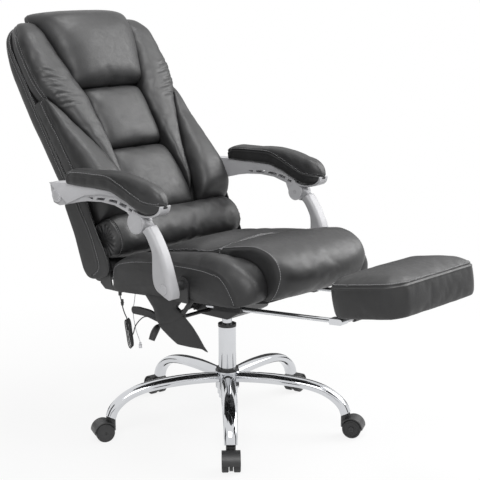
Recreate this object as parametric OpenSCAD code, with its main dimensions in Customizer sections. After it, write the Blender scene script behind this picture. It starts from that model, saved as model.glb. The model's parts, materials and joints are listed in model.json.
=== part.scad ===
// Reclining office chair with a slide-out footrest.
// Millimetres, +Z up, the sitter faces -Y. The origin is on the floor under the column's axis.
// Each arm is a parallelogram: seat pivot, post, disc pivot, beam, back pivot, hinge.

/* [Wheel base] */
// Radius of the circle through the caster stems
base_radius = 330; // [300:1:350]
// Direction of the first leg, in degrees from +X
base_turn = -136; // [-180:1:180]
// Number of legs
leg_count = 5; // [5:1:5]
// Width of a leg beside the hub
leg_root_width = 34; // [28:1:38]
// Width of a leg at its belly
leg_belly_width = 44; // [38:1:50]
// Width of a leg at the caster
leg_end_width = 34; // [30:1:40]
// Depth of a leg beside the hub
leg_root_depth = 36; // [30:1:42]
// Depth of a leg at the caster
leg_end_depth = 28; // [26:1:32]
// Thickness of the pressed leg sheet
leg_sheet = 2.5; // [2:0.1:3]
// Height of the legs' top edge at the hub
leg_top = 152; // [145:1:165]
// Diameter of the hub
hub_d = 66; // [62:1:74]
// Height of the hub
hub_height = 52; // [46:1:60]
// Rim of the hub above the legs
hub_rim = 4; // [3:0.5:6]
// Height of the black ring on the hub
hub_ring_height = 8; // [6:1:12]

/* [Casters] */
// Diameter of a caster wheel
wheel_d = 50; // [46:1:54]
// Width of one caster wheel
wheel_width = 17; // [14:1:20]
// Gap between the two wheels of a caster
wheel_gap = 13; // [11:1:16]
// Distance from the stem to the wheel axle
caster_trail = 20; // [17:1:24]
// Height of a caster to its neck
caster_height = 62; // [61:1:70]
// Gap between the neck and the leg, filled by the stem's flange
stem_gap = 5; // [3:0.5:7]
// Diameter of the stem
stem_d = 11; // [9:0.5:11]
// Depth of the stem in the leg
stem_seat = 15; // [12:1:16]
// Diameter of the wheel axle
axle_d = 8; // [6:1:9]
// Thickness of the hood over the wheels
hood_wall = 3; // [2:0.5:4]
// Gap between a wheel and the hood
hood_gap = 2; // [1.5:0.5:3]
// Diameter of the hood's neck
neck_d = 25; // [22:1:28]

/* [Column] */
// Outer diameter of the column tube
column_d = 48; // [44:1:50]
// Wall of the column tube
column_wall = 2; // [1.5:0.5:3]
// Length of the cylinder that shows below the seat's mechanism
cylinder_shown = 32; // [27:1:42]
// Depth that the column reaches below the hub
column_drop = 24; // [16:1:28]
// Height of the bush's collar above the tube
bush_collar = 8; // [6:1:10]
// Depth of the bush in the tube
bush_depth = 48; // [40:1:60]
// Diameter of the sliding cylinder
cylinder_d = 27; // [25:1:29]
// Height of the cylinder's lower end above the thrust bearing
cylinder_rest = 34; // [32:1:45]
// Wall of the sliding cylinder
cylinder_wall = 3; // [2:0.5:4]
// Diameter of the lift rod
rod_d = 10; // [8:1:12]

/* [Seat] */
// Height of the seat board's underside
seat_height = 420; // [415:1:440]
// Full width of the seat
seat_width = 520; // [510:1:530]
// Length of the seat behind the column
seat_rear = 168; // [160:1:170]
// Length of the bolsters in front of the column
seat_front = 303; // [295:1:312]
// Thickness of the seat board
board = 12; // [10:1:15]
// Width of the seat board
seat_board_width = 464; // [450:1:472]
// Height of the bolsters' crown above the board's underside
bolster_rise = 114; // [105:1:120]
// Height of the middle pad above the board's underside
pad_rise = 136; // [125:1:142]
// Half width of the middle pad at the front roll
pad_half = 170; // [160:1:176]
// Reach of the front roll past the bolsters
roll_reach = 55; // [45:1:60]

/* [Tilt mechanism] */
// Width of the mechanism's housing
housing_width = 124; // [110:1:134]
// Length of the mechanism's housing
housing_length = 190; // [180:1:200]
// Depth of the mechanism below the seat board
housing_depth = 100; // [98:1:104]
// Wall of the pressed housing
housing_wall = 3; // [2:0.5:4]
// Width of the mounting plate
plate_width = 190; // [170:1:210]
// Thickness of the mounting plate
plate = 4; // [3:0.5:6]

/* [Backrest] */
// Lean of the backrest from upright, as photographed
lean = 33; // [31:1:35]
// Distance of the hinge behind the column
hinge_y = 209; // [208:1:216]
// Height of the hinge above the seat board's underside
hinge_rise = 73; // [70:1:76]
// Width of the backrest
back_width = 500; // [490:1:500]
// Height of the pads above the hinge
back_height = 716; // [690:1:740]
// Depth of the boxing behind the board
boxing = 60; // [52:1:66]
// Distance of the back board's rear face behind the hinge
pad_base = 28; // [27:1:32]
// Half width of the head pillow
pillow_half = 130; // [124:1:136]
// Thickness of the head pillow in front of the board
pillow_thick = 104; // [94:1:112]
// Half width of the two lower pads
mid_half = 106; // [100:1:110]
// Thickness of the two lower pads in front of the board
mid_thick = 66; // [56:1:72]
// Thickness of the side bolsters in front of the board
side_thick = 72; // [62:1:80]
// Thickness of the wings in front of the board
wing_thick = 108; // [98:1:116]
// Half height of the lumbar roll
lumbar_tall = 49; // [44:1:50]
// Half depth of the lumbar roll
lumbar_deep = 42; // [36:1:44]
// Height of the lumbar roll's middle above the hinge
lumbar_up = 27; // [26:1:30]
// Distance of the lumbar roll's middle in front of the hinge
lumbar_out = 27; // [25:1:30]

/* [Arms] */
// Distance of an arm's middle plane from the chair's middle
arm_offset = 310; // [308:1:320]
// Width of the arm beam
beam_width = 38; // [36:1:40]
// Width of the arm pad
arm_pad_width = 56; // [52:1:56]
// Distance of the post's pivot in front of the column
post_y = 90; // [85:1:95]
// Height of the post's pivot above the seat board's underside
post_rise = 36; // [34:1:40]
// Rearward run of the post between its pivots
link_run = 95; // [92:1:98]
// Rise of the post between its pivots
link_rise = 155; // [152:1:158]
// Radius of the round disc on the pivot
disc_r = 27.5; // [26:0.5:28]
// Diameter of the pivot pins
pin_d = 12; // [10:1:13]
// Radius of the eyes round the pivot pins
eye_r = 16; // [15:1:18]
// Thickness of the hinge and bracket plates
ear = 4; // [3:0.5:4.5]

/* [Footrest] */
// Width of the footrest pad
foot_width = 344; // [330:1:360]
// Length of the footrest pad
foot_length = 200; // [190:1:205]
// Height of the footrest pad's side
foot_side = 72; // [64:1:76]
// Crown of the footrest pad
foot_crown = 24; // [16:1:28]
// Corner radius of the footrest pad
foot_corner = 44; // [36:1:54]
// Tilt of the footrest pad
foot_tilt = 9.5; // [8:0.5:10]
// Distance of the footrest's hinge in front of the column
foot_y = 507; // [503:1:515]
// Height of the footrest's hinge below the seat board's underside
foot_drop = 7; // [5:1:10]
// Rise of the rods towards the hinge, in degrees
rod_slope = 4.4; // [4:0.1:5]
// Diameter of the footrest rods
foot_rod_d = 12; // [10:1:14]
// Distance of a rod from the chair's middle
foot_rod_x = 148; // [142:1:152]
// Length of the rods
foot_rod_length = 440; // [425:1:450]
// Length of a rod's guide
guide_length = 92; // [84:1:96]
// Distance of the guides' front end in front of the column
guide_y = 190; // [185:1:195]
// Diameter of the cross tube at the hinge
cross_d = 10; // [8:0.5:11]
// Reach of the footrest pad behind its hinge
foot_back = 16; // [12:1:18]
// Height of the footrest board above its hinge
foot_rise = 8; // [7.5:0.5:9]
// Width of the blocks that hold the cross tube
block_width = 24; // [20:1:26]

/* [Levers and pouch] */
// Length of the recline paddle
paddle_length = 104; // [90:1:110]
// Height of the recline paddle
paddle_height = 17; // [14:1:20]
// Thickness of the recline paddle
paddle_thick = 6; // [5:0.5:8]
// Distance of the paddle from the chair's middle
paddle_x = 225; // [222:1:226]
// Distance of the pouch from the chair's middle
pouch_x = 252; // [250:1:254]
// Thickness of the remote control's pouch
pouch_thick = 16; // [12:1:16]

/* [Leads] */
// Diameter of the massage lead
lead_d = 3; // [2.5:0.1:3.5]
// Diameter of the thin power lead
thin_d = 2; // [1.6:0.1:2.4]
// Number of loops in the tied hank
hank_loops = 3; // [2:1:4]
// Height of the tied hank
hank_height = 76; // [70:1:84]
// Half width of the hank's loops
hank_half = 11; // [9:1:13]

/* [Hidden] */
$fn = 64;

// Clearances and small sizes that several pieces share
run_gap = 0.05;      // round a pin that turns or slides in its bore
open_gap = 0.4;      // round the arm's open pivot
soft_gap = 0.3;      // round soft parts
part_gap = 0.6;      // between rigid pieces that pass each other
over = 1;            // how far a cut runs past a face
washer = 2;          // thickness of washers and pin heads

black_soft = [0.23, 0.23, 0.24];
black_plastic = [0.13, 0.13, 0.14];
black_steel = [0.18, 0.18, 0.19];
chrome = [0.80, 0.81, 0.83];
silver = [0.74, 0.75, 0.76];
plywood = [0.78, 0.64, 0.44];
steel = [0.62, 0.63, 0.65];
pale_plastic = [0.85, 0.85, 0.84];

// Places in the side view that follow from the sizes, as [y, z]
hinge = [hinge_y, seat_height + hinge_rise];
post_foot = [-post_y, seat_height + post_rise];
link = [link_run, link_rise];
disc_at = post_foot + link;
knuckle_at = hinge + link;
arm_span = knuckle_at[0] - disc_at[0];
seat_top = seat_height + board;
beam_in = arm_offset - beam_width / 2;
beam_out = arm_offset + beam_width / 2;
seat_half = seat_width / 2;
back_half = back_width / 2;

// Signed power, which squares or rounds a sine
function bent(t, e) = sign(t) * pow(abs(t), e);

// Closed section: half width, reach up and down, and how square its upper and lower halves are
function section(half, up, down, high_share, low_share, n) =
    [for (i = [0 : n - 1]) let (t = 360 * i / n, e = sin(t) > 0 ? high_share : low_share)
        [half * bent(cos(t), e), (sin(t) > 0 ? up : down) * bent(sin(t), e)]];

// Smooth curve through a list of points, with a number of steps between neighbours
function curve(p, steps) = concat(
    [for (i = [0 : len(p) - 2], k = [0 : steps - 1])
        let (a = p[max(i - 1, 0)], b = p[i], c = p[i + 1], d = p[min(i + 2, len(p) - 1)],
             t = k / steps)
        b + (c - a) * t / 2 + (a * 2 - b * 5 + c * 4 - d) * t * t / 2
          + (b * 3 - a - c * 3 + d) * t * t * t / 2],
    [p[len(p) - 1]]);

function total(ring, k, i = 0) = i == len(ring) ? 0 : ring[i][k] + total(ring, k, i + 1);
function middle(ring) = [for (k = [0 : 2]) total(ring, k) / len(ring)];

// Closed skin over rings of equal length, which run anticlockwise seen from the last ring
module skin(rings) {
    n = len(rings[0]);
    m = len(rings);
    sides = [for (i = [0 : m - 2], j = [0 : n - 1])
        let (k = (j + 1) % n, a = i * n)
        each [[a + j, a + n + j, a + n + k], [a + j, a + n + k, a + k]]];
    first = [for (j = [0 : n - 1]) [m * n, j, (j + 1) % n]];
    last = [for (j = [0 : n - 1]) [m * n + 1, (m - 1) * n + (j + 1) % n, (m - 1) * n + j]];
    polyhedron(points = concat([for (ring = rings) each ring],
                               [middle(rings[0]), middle(rings[m - 1])]),
               faces = concat(sides, first, last));
}

function unit(v) = v / norm(v);

// Round tube along a path that never runs along X
module tube(path, d, sides) {
    m = len(path);
    skin([for (i = [0 : m - 1])
        let (t = unit(path[min(i + 1, m - 1)] - path[max(i - 1, 0)]),
             a = unit(cross(t, [1, 0, 0])), b = cross(t, a))
        [for (j = [0 : sides - 1]) let (w = 360 * j / sides)
            path[i] + (a * cos(w) + b * sin(w)) * d / 2]]);
}

// A flat outline of the side view, from one distance to another along X
module side_plate(x, width) {
    translate([x, 0, 0]) rotate([90, 0, 90]) linear_extrude(width) children();
}

// A round bar along X, about a point of the side view
module side_pin(x, width, at, d) {
    translate([x, at[0], at[1]]) rotate([0, 90, 0]) cylinder(d = d, h = width);
}

// Pieces are drawn on the sitter's left side, +X, and mirrored for the right
module right_side() { mirror([1, 0, 0]) children(); }
module both_sides() {
    children();
    mirror([1, 0, 0]) children();
}

// The backrest's own frame: X across, -Y out of the pads, Z up along the back
module in_back() {
    translate([0, hinge[0], hinge[1]]) rotate([-lean, 0, 0]) children();
}

// The footrest's own frame at its hinge: X across, -Y along the pad, Z out of it
foot_z = seat_height - foot_drop;
module in_foot() { translate([0, -foot_y, foot_z]) rotate([-foot_tilt, 0, 0]) children(); }

// The rods' frame at the same hinge: +Y back along the rods
module along_rods() { translate([0, -foot_y, foot_z]) rotate([-rod_slope, 0, 0]) children(); }

module around(i) { rotate([0, 0, base_turn + 360 / leg_count * i]) children(); }

// WHEEL BASE

hub_high = leg_top + hub_rim;
hub_low = hub_high - hub_height;
hub_bite = leg_sheet * 2;
column_low = hub_low - column_drop;
column_end = seat_height - housing_depth - cylinder_shown - bush_collar;
column_length = column_end - column_low;
leg_end_z = caster_height + stem_gap;

module base_hub() {
    color(chrome) difference() {
        union() {
            translate([0, 0, hub_low]) cylinder(d = hub_d, h = hub_height);
            translate([0, 0, hub_low - column_drop / 2])
                cylinder(d = column_d + leg_sheet * 3, h = column_drop / 2);
        }
        translate([0, 0, column_low]) cylinder(d = column_d, h = hub_height + column_drop + over);
        // the legs stand in slots round the hub
        for (i = [0 : leg_count - 1]) around(i)
            translate([hub_d / 2 - hub_bite, -leg_root_width / 2 - soft_gap, hub_low - over])
                cube([hub_bite + over, leg_root_width + soft_gap * 2, leg_top - hub_low + over]);
    }
}

// Stations of a leg: shares of its run, of its fall, of its belly and of its loss of depth
leg_shares = [[0, 0, 0, 0], [0.22, 0.02, 0.35, 0.05], [0.45, 0.06, 0.85, 0.2],
              [0.62, 0.12, 1, 0.38], [0.75, 0.19, 0.85, 0.55], [0.86, 0.33, 0.5, 0.75],
              [0.93, 0.5, 0.25, 0.88], [0.975, 0.74, 0.1, 0.96], [1, 1, 0, 1]];
leg_square_share = 0.7;
leg_start = hub_d / 2 - hub_bite;
leg_reach = base_radius + leg_end_depth / 2;
leg_steps = 2;
leg_arc = 9;         // points over the crown of a leg

function leg_point(s) = [leg_start + (leg_reach - leg_start) * s[0],
                         leg_top - (leg_top - leg_end_z) * s[1]];
function leg_width(s) = leg_root_width + (leg_end_width - leg_root_width) * s[0]
    + (leg_belly_width - leg_root_width) * s[2];
function leg_depth(s) = leg_root_depth + (leg_end_depth - leg_root_depth) * s[3];

// Arch of the channel at one station, outside or inside the sheet
function leg_arch(s, slope, sheet) =
    let (c = leg_point(s), w = leg_width(s) / 2 - sheet, d = leg_depth(s) - sheet)
    [for (j = [0 : leg_arc - 1])
        let (t = 180 * j / (leg_arc - 1), drop = sheet + d * (1 - bent(sin(t), leg_square_share)))
        [c[0] + sin(slope) * drop, w * bent(cos(t), leg_square_share), c[1] - cos(slope) * drop]];

module leg() {
    s = curve(leg_shares, leg_steps);
    m = len(s);
    n = leg_arc * 2;
    rings = [for (i = [0 : m - 1])
        let (a = leg_point(s[max(i - 1, 0)]), b = leg_point(s[min(i + 1, m - 1)]),
             slope = i == 0 ? 0 : atan2(b[1] - a[1], b[0] - a[0]),
             inner = leg_arch(s[i], slope, leg_sheet))
        concat(leg_arch(s[i], slope, 0), [for (j = [leg_arc - 1 : -1 : 0]) inner[j]])];
    sides = [for (i = [0 : m - 2], j = [0 : n - 1])
        let (k = (j + 1) % n, a = i * n)
        each [[a + j, a + n + j, a + n + k], [a + j, a + n + k, a + k]]];
    ends = [for (j = [0 : leg_arc - 2])
        let (p = n - 1 - j, b = (m - 1) * n)
        each [[j, j + 1, p - 1], [j, p - 1, p],
              [b + j, b + p - 1, b + j + 1], [b + j, b + p, b + p - 1]]];
    difference() {
        union() {
            polyhedron(points = [for (ring = rings) each ring], faces = concat(sides, ends));
            // socket for the caster's stem
            translate([base_radius, 0, leg_end_z])
                cylinder(d = stem_d + leg_sheet * 2, h = stem_seat + leg_sheet);
        }
        translate([base_radius, 0, leg_end_z - over])
            cylinder(d = stem_d + run_gap * 2, h = stem_seat + over);
        // the leg's end is cut level
        translate([base_radius - leg_end_width * 2, -leg_belly_width, leg_end_z - leg_belly_width])
            cube([leg_end_width * 4, leg_belly_width * 2, leg_belly_width]);
    }
}

module base_legs() { color(chrome) for (i = [0 : leg_count - 1]) around(i) leg(); }

module hub_ring() {
    color(black_plastic) translate([0, 0, hub_high]) difference() {
        cylinder(d = hub_d - hub_bite, h = hub_ring_height);
        translate([0, 0, -over]) cylinder(d = column_d, h = hub_ring_height + over * 2);
    }
}

// CASTERS, drawn with the stem on the Z axis and the wheels trailing along +X

wheel_r = wheel_d / 2;
wheel_at = wheel_gap / 2 + wheel_width / 2;
caster_width = wheel_gap + wheel_width * 2;
web = wheel_gap - hood_gap * 2;
hood_turn = 150;     // degrees that the hood covers

module on_axle() { translate([caster_trail, 0, wheel_r]) rotate([90, 0, 0]) children(); }

module caster_hood() {
    color(black_plastic) difference() {
        union() {
            on_axle() cylinder(r = wheel_r - hood_wall, h = web, center = true);
            on_axle() rotate_extrude(angle = hood_turn) {
                translate([wheel_r + hood_gap, -caster_width / 2])
                    square([hood_wall, caster_width]);
                translate([axle_d / 2, -web / 2])
                    square([wheel_r + hood_gap - axle_d / 2 + hood_wall / 2, web]);
            }
            translate([0, 0, wheel_r]) cylinder(d = neck_d, h = caster_height - wheel_r);
        }
        // room for the wheels beside the web
        for (s = [-1, 1]) on_axle() translate([0, 0, s * (web + caster_width) / 2])
            cylinder(r = wheel_r + hood_gap, h = caster_width, center = true);
    }
    color(steel) {
        on_axle() cylinder(d = axle_d, h = caster_width - washer, center = true);
        // stem with its flange
        translate([0, 0, caster_height - over])
            cylinder(d = stem_d, h = stem_gap + stem_seat - washer / 2 + over);
        translate([0, 0, caster_height - over])
            cylinder(d = stem_d + leg_sheet * 2, h = stem_gap - run_gap + over);
    }
}

module caster_wheels() {
    tread = hood_gap;
    color(black_plastic) for (s = [-1, 1]) on_axle() translate([0, 0, s * wheel_at])
        rotate_extrude() polygon([
            [axle_d / 2 + run_gap, -wheel_width / 2],
            [wheel_r - tread, -wheel_width / 2],
            [wheel_r, -wheel_width / 2 + tread],
            [wheel_r, wheel_width / 2 - tread],
            [wheel_r - tread, wheel_width / 2],
            // dished on both faces, as the halves are mirrored
            [wheel_r - tread * 2, wheel_width / 2],
            [wheel_r - tread * 3, wheel_width / 2 - tread],
            [axle_d, wheel_width / 2 - tread],
            [axle_d - tread / 2, wheel_width / 2],
            [axle_d / 2 + run_gap, wheel_width / 2]]);
}

module place_caster(i) { around(i) translate([base_radius, 0, 0]) children(); }

// COLUMN

bearing_height = bush_collar;
cylinder_top = seat_height - housing_depth + bush_collar * 5;
cylinder_low = column_low + column_wall + bearing_height + cylinder_rest;
cylinder_length = cylinder_top - cylinder_low;
rod_top = cylinder_top - bush_collar * 5;
rod_bore = rod_d + run_gap * 2;

module column_tube() {
    color(chrome) translate([0, 0, column_low]) difference() {
        cylinder(d = column_d, h = column_length);
        translate([0, 0, column_wall])
            cylinder(d = column_d - column_wall * 2, h = column_length);
        translate([0, 0, -over]) cylinder(d = rod_bore, h = column_wall + over * 2);
    }
}

module column_bush() {
    color(black_plastic) difference() {
        union() {
            translate([0, 0, column_end]) cylinder(d = column_d + washer, h = bush_collar);
            translate([0, 0, column_end - bush_depth])
                cylinder(d = column_d - column_wall * 2, h = bush_depth + over);
        }
        translate([0, 0, column_end - bush_depth - over])
            cylinder(d = cylinder_d + run_gap * 2, h = bush_depth + bush_collar + over * 2);
    }
}

// Thrust bearing on the tube's floor, under the lift rod's shoulder
module column_bearing() {
    color(steel) translate([0, 0, column_low + column_wall]) difference() {
        cylinder(d = column_d - column_wall * 3, h = bearing_height);
        translate([0, 0, -over]) cylinder(d = rod_bore, h = bearing_height + over * 2);
    }
}

// The rod turns on the bearing, and the cylinder slides over it
module lift_rod() {
    color(steel) {
        translate([0, 0, column_low - washer * 2])
            cylinder(d = rod_d, h = rod_top - column_low + washer * 2);
        translate([0, 0, column_low + column_wall + bearing_height + run_gap])
            cylinder(d = rod_d * 1.8, h = washer * 2);
        // retaining clip under the tube's floor
        translate([0, 0, column_low - washer - run_gap]) cylinder(d = rod_d * 1.6, h = washer);
        // piston head
        translate([0, 0, rod_top - bush_collar])
            cylinder(d = cylinder_d - cylinder_wall * 2 - run_gap * 2, h = bush_collar);
    }
}

module lift_cylinder() {
    color(chrome) translate([0, 0, cylinder_low]) difference() {
        cylinder(d = cylinder_d, h = cylinder_length);
        translate([0, 0, bush_collar]) cylinder(d = cylinder_d - cylinder_wall * 2,
            h = cylinder_length - bush_collar - cylinder_wall);
        translate([0, 0, -over]) cylinder(d = rod_bore, h = bush_collar + over * 2);
    }
}

// TILT MECHANISM

// Side outline of the housing: shares of its length from the rear and of its height
housing_shares = [[0, 1], [0, 0.45], [0.1, 0.1], [0.22, 0], [0.72, 0], [0.9, 0.2], [1, 0.55],
                  [1, 1]];
housing_front_share = 0.58;
housing_rear_y = housing_length * (1 - housing_front_share);
housing_low = seat_height - housing_depth;
housing_top = seat_height - plate;
lever_pin_d = ear + washer;
lever_at = [housing_rear_y - housing_length * 0.11, housing_low + housing_depth * 0.2];
lever_x = housing_width / 2 + eye_r / 2 + part_gap;
paddle_at = [bush_collar, housing_low + paddle_height];

function housing_outline(inset, top) = [for (s = housing_shares)
    [housing_rear_y - inset - (housing_length - inset * 2) * s[0],
     s[1] == 1 ? top : housing_low + inset + (housing_depth - plate - inset) * s[1]]];

module tilt_housing() {
    color(black_steel) {
        difference() {
            side_plate(-housing_width / 2, housing_width)
                polygon(housing_outline(0, housing_top));
            side_plate(-housing_width / 2 + housing_wall, housing_width - housing_wall * 2)
                polygon(housing_outline(housing_wall, housing_top + over));
            translate([0, 0, housing_low - over])
                cylinder(d = cylinder_d, h = housing_wall + over * 2);
            side_pin(-housing_width, housing_width, paddle_at, rod_bore);
        }
        // socket for the cylinder
        translate([0, 0, housing_low]) difference() {
            cylinder(d = cylinder_d + housing_wall * 4, h = housing_depth - plate);
            translate([0, 0, -over]) cylinder(d = cylinder_d, h = bush_collar * 5 + over);
        }
        // mounting plate
        translate([-plate_width / 2, housing_rear_y - housing_length, housing_top])
            cube([plate_width, housing_length + eye_r, plate]);
        // fork and pin for the height lever
        for (s = [-1, 1]) translate([-lever_x - eye_r / 2,
                lever_at[0] + s * (eye_r / 2 + part_gap + ear / 2) - ear / 2,
                lever_at[1] - eye_r / 2])
            cube([eye_r + part_gap, ear, eye_r]);
        translate([-lever_x, lever_at[0] + eye_r / 2 + part_gap + ear, lever_at[1]])
            rotate([90, 0, 0]) cylinder(d = lever_pin_d, h = eye_r + (part_gap + ear) * 2);
    }
}

// Paddle that lets the backrest recline
module recline_lever() {
    color(black_plastic) {
        side_pin(-paddle_x, paddle_x - housing_width / 2 + housing_wall * 2, paddle_at, rod_d);
        side_plate(-paddle_x - paddle_thick / 2, paddle_thick) {
            translate(paddle_at) circle(d = paddle_height);
            translate(paddle_at + [0, -paddle_height / 2])
                square([paddle_length - paddle_height, paddle_height]);
            translate(paddle_at + [paddle_length - paddle_height, 0]) circle(d = paddle_height);
        }
    }
}

// Middle line of the height lever: shares of its reach outward and of its fall, and its girth
lever_shares = [[0, 0, 0.45], [0.3, 0.13, 0.45], [0.6, 0.3, 0.45], [0.8, 0.45, 0.5],
                [0.86, 0.52, 0.85], [0.93, 0.7, 1], [1, 1, 0.85]];
lever_reach = seat_half - lever_x - eye_r * 2;
lever_fall = housing_depth * 0.62;
lever_girth = eye_r + washer * 2;
lever_sides = 12;

module height_lever() {
    s = curve(lever_shares, 3);
    m = len(s);
    at = [for (p = s) [-lever_x - lever_reach * p[0], lever_at[0], lever_at[1] - lever_fall * p[1]]];
    color(black_plastic) difference() {
        union() {
            skin([for (i = [0 : m - 1])
                let (t = unit(at[min(i + 1, m - 1)] - at[max(i - 1, 0)]), b = cross(t, [0, 1, 0]))
                [for (j = [0 : lever_sides - 1]) let (w = 360 * j / lever_sides)
                    at[i] + ([0, 1, 0] * cos(w) + b * sin(w)) * lever_girth * s[i][2] / 2]]);
            translate([-lever_x, lever_at[0] + eye_r / 2, lever_at[1]]) rotate([90, 0, 0])
                cylinder(d = eye_r - washer / 2, h = eye_r);
        }
        translate([-lever_x, lever_at[0] + eye_r, lever_at[1]]) rotate([90, 0, 0])
            cylinder(d = lever_pin_d + run_gap * 2, h = eye_r * 2);
    }
}

// SEAT

seat_board_front = seat_front - board * 2;
seat_board_rear = seat_rear - board;
bar_top = seat_height - board * 0.8;

module seat_board() {
    cut = seat_board_width / 2 - pad_half + board;
    color(plywood) translate([0, 0, seat_height]) linear_extrude(board) polygon([
        [-seat_board_width / 2, seat_board_rear], [-seat_board_width / 2, cut - seat_board_front],
        [cut - seat_board_width / 2, -seat_board_front],
        [seat_board_width / 2 - cut, -seat_board_front],
        [seat_board_width / 2, cut - seat_board_front], [seat_board_width / 2, seat_board_rear]]);
}

// Stations of the middle pad from the rear: shares of its length, of its half width, then of
// its height for the seam, the crown above it and the drop below it
seat_pad_shares = [[0, 0.84, 0.2, 0.03, 0.08], [0.013, 0.88, 0.21, 0.1, 0.122],
    [0.06, 0.895, 0.215, 0.15, 0.127], [0.124, 0.895, 0.235, 0.15, 0.147],
    [0.22, 0.9, 0.3, 0.185, 0.212], [0.315, 0.9, 0.37, 0.22, 0.282],
    [0.41, 0.905, 0.445, 0.25, 0.357], [0.507, 0.92, 0.515, 0.28, 0.427],
    [0.6, 0.95, 0.575, 0.32, 0.487], [0.698, 0.985, 0.625, 0.35, 0.537],
    [0.793, 1, 0.63, 0.37, 0.542], [0.845, 1, 0.61, 0.35, 0.522],
    [0.889, 1, 0.575, 0.31, 0.485], [0.93, 0.99, 0.53, 0.245, 0.43],
    [0.956, 0.975, 0.48, 0.19, 0.36], [0.98, 0.95, 0.44, 0.13, 0.28],
    [0.993, 0.91, 0.42, 0.08, 0.2], [1, 0.84, 0.41, 0.03, 0.1]];
seat_pad_points = 30;
seat_length = seat_rear + seat_front;

module seat_middle_pad() {
    color(black_soft) difference() {
        skin([for (s = seat_pad_shares)
            [for (p = section(pad_half * s[1], pad_rise * s[3], pad_rise * s[4], 0.72, 0.3,
                              seat_pad_points))
                [p[0], seat_rear - (seat_length + roll_reach) * s[0],
                 seat_height + pad_rise * s[2] + p[1]]]]);
        translate([-seat_half, -seat_board_front, seat_height - seat_length])
            cube([seat_width, seat_length * 2, seat_length + board]);
    }
}

// Stations of a side bolster from the rear: shares of its length, of the middle pad's half
// width, then of its height for the seam, the crown and the drop, and of its own half width
seat_bolster_shares = [[0, 0.895, 0.36, 0.06, 0.24, 0.86], [0.02, 0.9, 0.42, 0.12, 0.42, 0.97],
    [0.08, 0.9, 0.52, 0.13, 0.56, 1], [0.2, 0.905, 0.65, 0.15, 0.68, 1],
    [0.36, 0.91, 0.73, 0.16, 0.755, 1], [0.5, 0.92, 0.765, 0.18, 0.775, 1],
    [0.6, 0.93, 0.775, 0.2, 0.775, 1], [0.74, 0.985, 0.73, 0.27, 0.7, 1],
    [0.8, 1, 0.67, 0.3, 0.62, 1], [0.86, 1, 0.53, 0.38, 0.45, 1], [0.91, 1, 0.42, 0.43, 0.32, 0.99],
    [0.96, 1, 0.34, 0.42, 0.2, 0.96], [0.99, 1, 0.3, 0.3, 0.12, 0.88], [1, 1, 0.28, 0.12, 0.05, 0.7]];
bolster_points = 24;

module seat_bolster() {
    color(black_soft) difference() {
        skin([for (s = seat_bolster_shares)
            let (inner = pad_half * s[1] + soft_gap, half = (seat_half - inner) / 2,
                 at = inner + half)
            [for (p = section(half * s[5], bolster_rise * s[3], bolster_rise * s[4], 0.66, 0.26,
                              bolster_points))
                [at + p[0], seat_rear - seat_length * s[0],
                 seat_height + bolster_rise * s[2] + p[1]]]]);
        translate([0, -seat_length, seat_height - seat_length])
            cube([seat_board_width / 2, seat_length * 2, seat_length + board]);
        // level underside beside the board
        translate([0, -seat_length, seat_height - seat_length])
            cube([seat_width, seat_length * 2, seat_length + soft_gap]);
    }
}

// HINGE BETWEEN THE SEAT AND THE BACKREST

seat_ear_x = back_half + part_gap;
back_ear_x = seat_ear_x + ear + part_gap;
hinge_head_x = back_ear_x + ear + part_gap;
bar_rear = seat_rear;
bar_depth = board;

// Outline of the seat's ear: shares of the hinge's height, from the hinge
seat_ear_shares = [[-0.19, -0.1], [-0.41, -1.13], [-0.95, -1.13], [-0.95, -1.3], [-0.05, -1.3],
                   [0.19, -1.12], [0.21, -0.06]];

module hinge_yoke() {
    color(black_steel) {
        // bar under the board, with its risers
        translate([-seat_ear_x, hinge[0] - hinge_rise * 0.95, hinge[1] - hinge_rise * 1.3])
            cube([seat_ear_x * 2, hinge_rise * 0.4, hinge_rise * 0.17]);
        both_sides() {
            translate([foot_rod_x, hinge[0] - hinge_rise * 0.95, hinge[1] - hinge_rise * 1.2])
                cube([eye_r * 3, hinge_rise * 0.23, hinge_rise * 0.2]);
            side_plate(seat_ear_x, ear) {
                polygon([for (s = seat_ear_shares) hinge + s * hinge_rise]);
                translate(hinge) circle(r = eye_r);
            }
            side_pin(seat_ear_x, hinge_head_x + washer - seat_ear_x, hinge, pin_d);
            side_pin(hinge_head_x, washer, hinge, pin_d + ear * 2);
        }
    }
}

rail_up_share = 0.3;
rail_low = eye_r;
rail_top = back_height * rail_up_share;
rail_front = pad_base + washer;
rail_rear = pad_base + boxing / 2;
rail_x = back_half - ear;

// Outline of the back's ear: shares of the eye's radius, from the hinge
back_ear_shares = [[-0.8, 0.6], [2.1, 5], [3.6, 5], [3.6, 2.5], [0.4, -0.92]];

module hinge_plates() {
    color(black_steel) in_back() both_sides() {
        translate([rail_x, rail_front, rail_low])
            cube([ear, rail_rear - rail_front, rail_top - rail_low]);
        difference() {
            side_plate(back_ear_x, ear) {
                polygon(back_ear_shares * eye_r);
                circle(r = eye_r);
            }
            side_pin(back_ear_x - over, ear + over * 2, [0, 0], pin_d + run_gap * 2);
        }
        // spacer from the rail to the ear
        translate([back_half, rail_front + washer, eye_r * 2.6])
            cube([back_ear_x - back_half, eye_r * 1.4, eye_r * 2.3]);
    }
}

// Knuckle of the arm in the backrest's frame, as [y, z]
knuckle_back = [link_run * cos(lean) - link_rise * sin(lean),
                link_run * sin(lean) + link_rise * cos(lean)];
// Outline of the arm's bracket: shares of the eye's radius, from the knuckle
bracket_shares = [[3.6, -1.9], [3.9, 1.9], [0.25, 0.96], [0.25, -0.96]];

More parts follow.
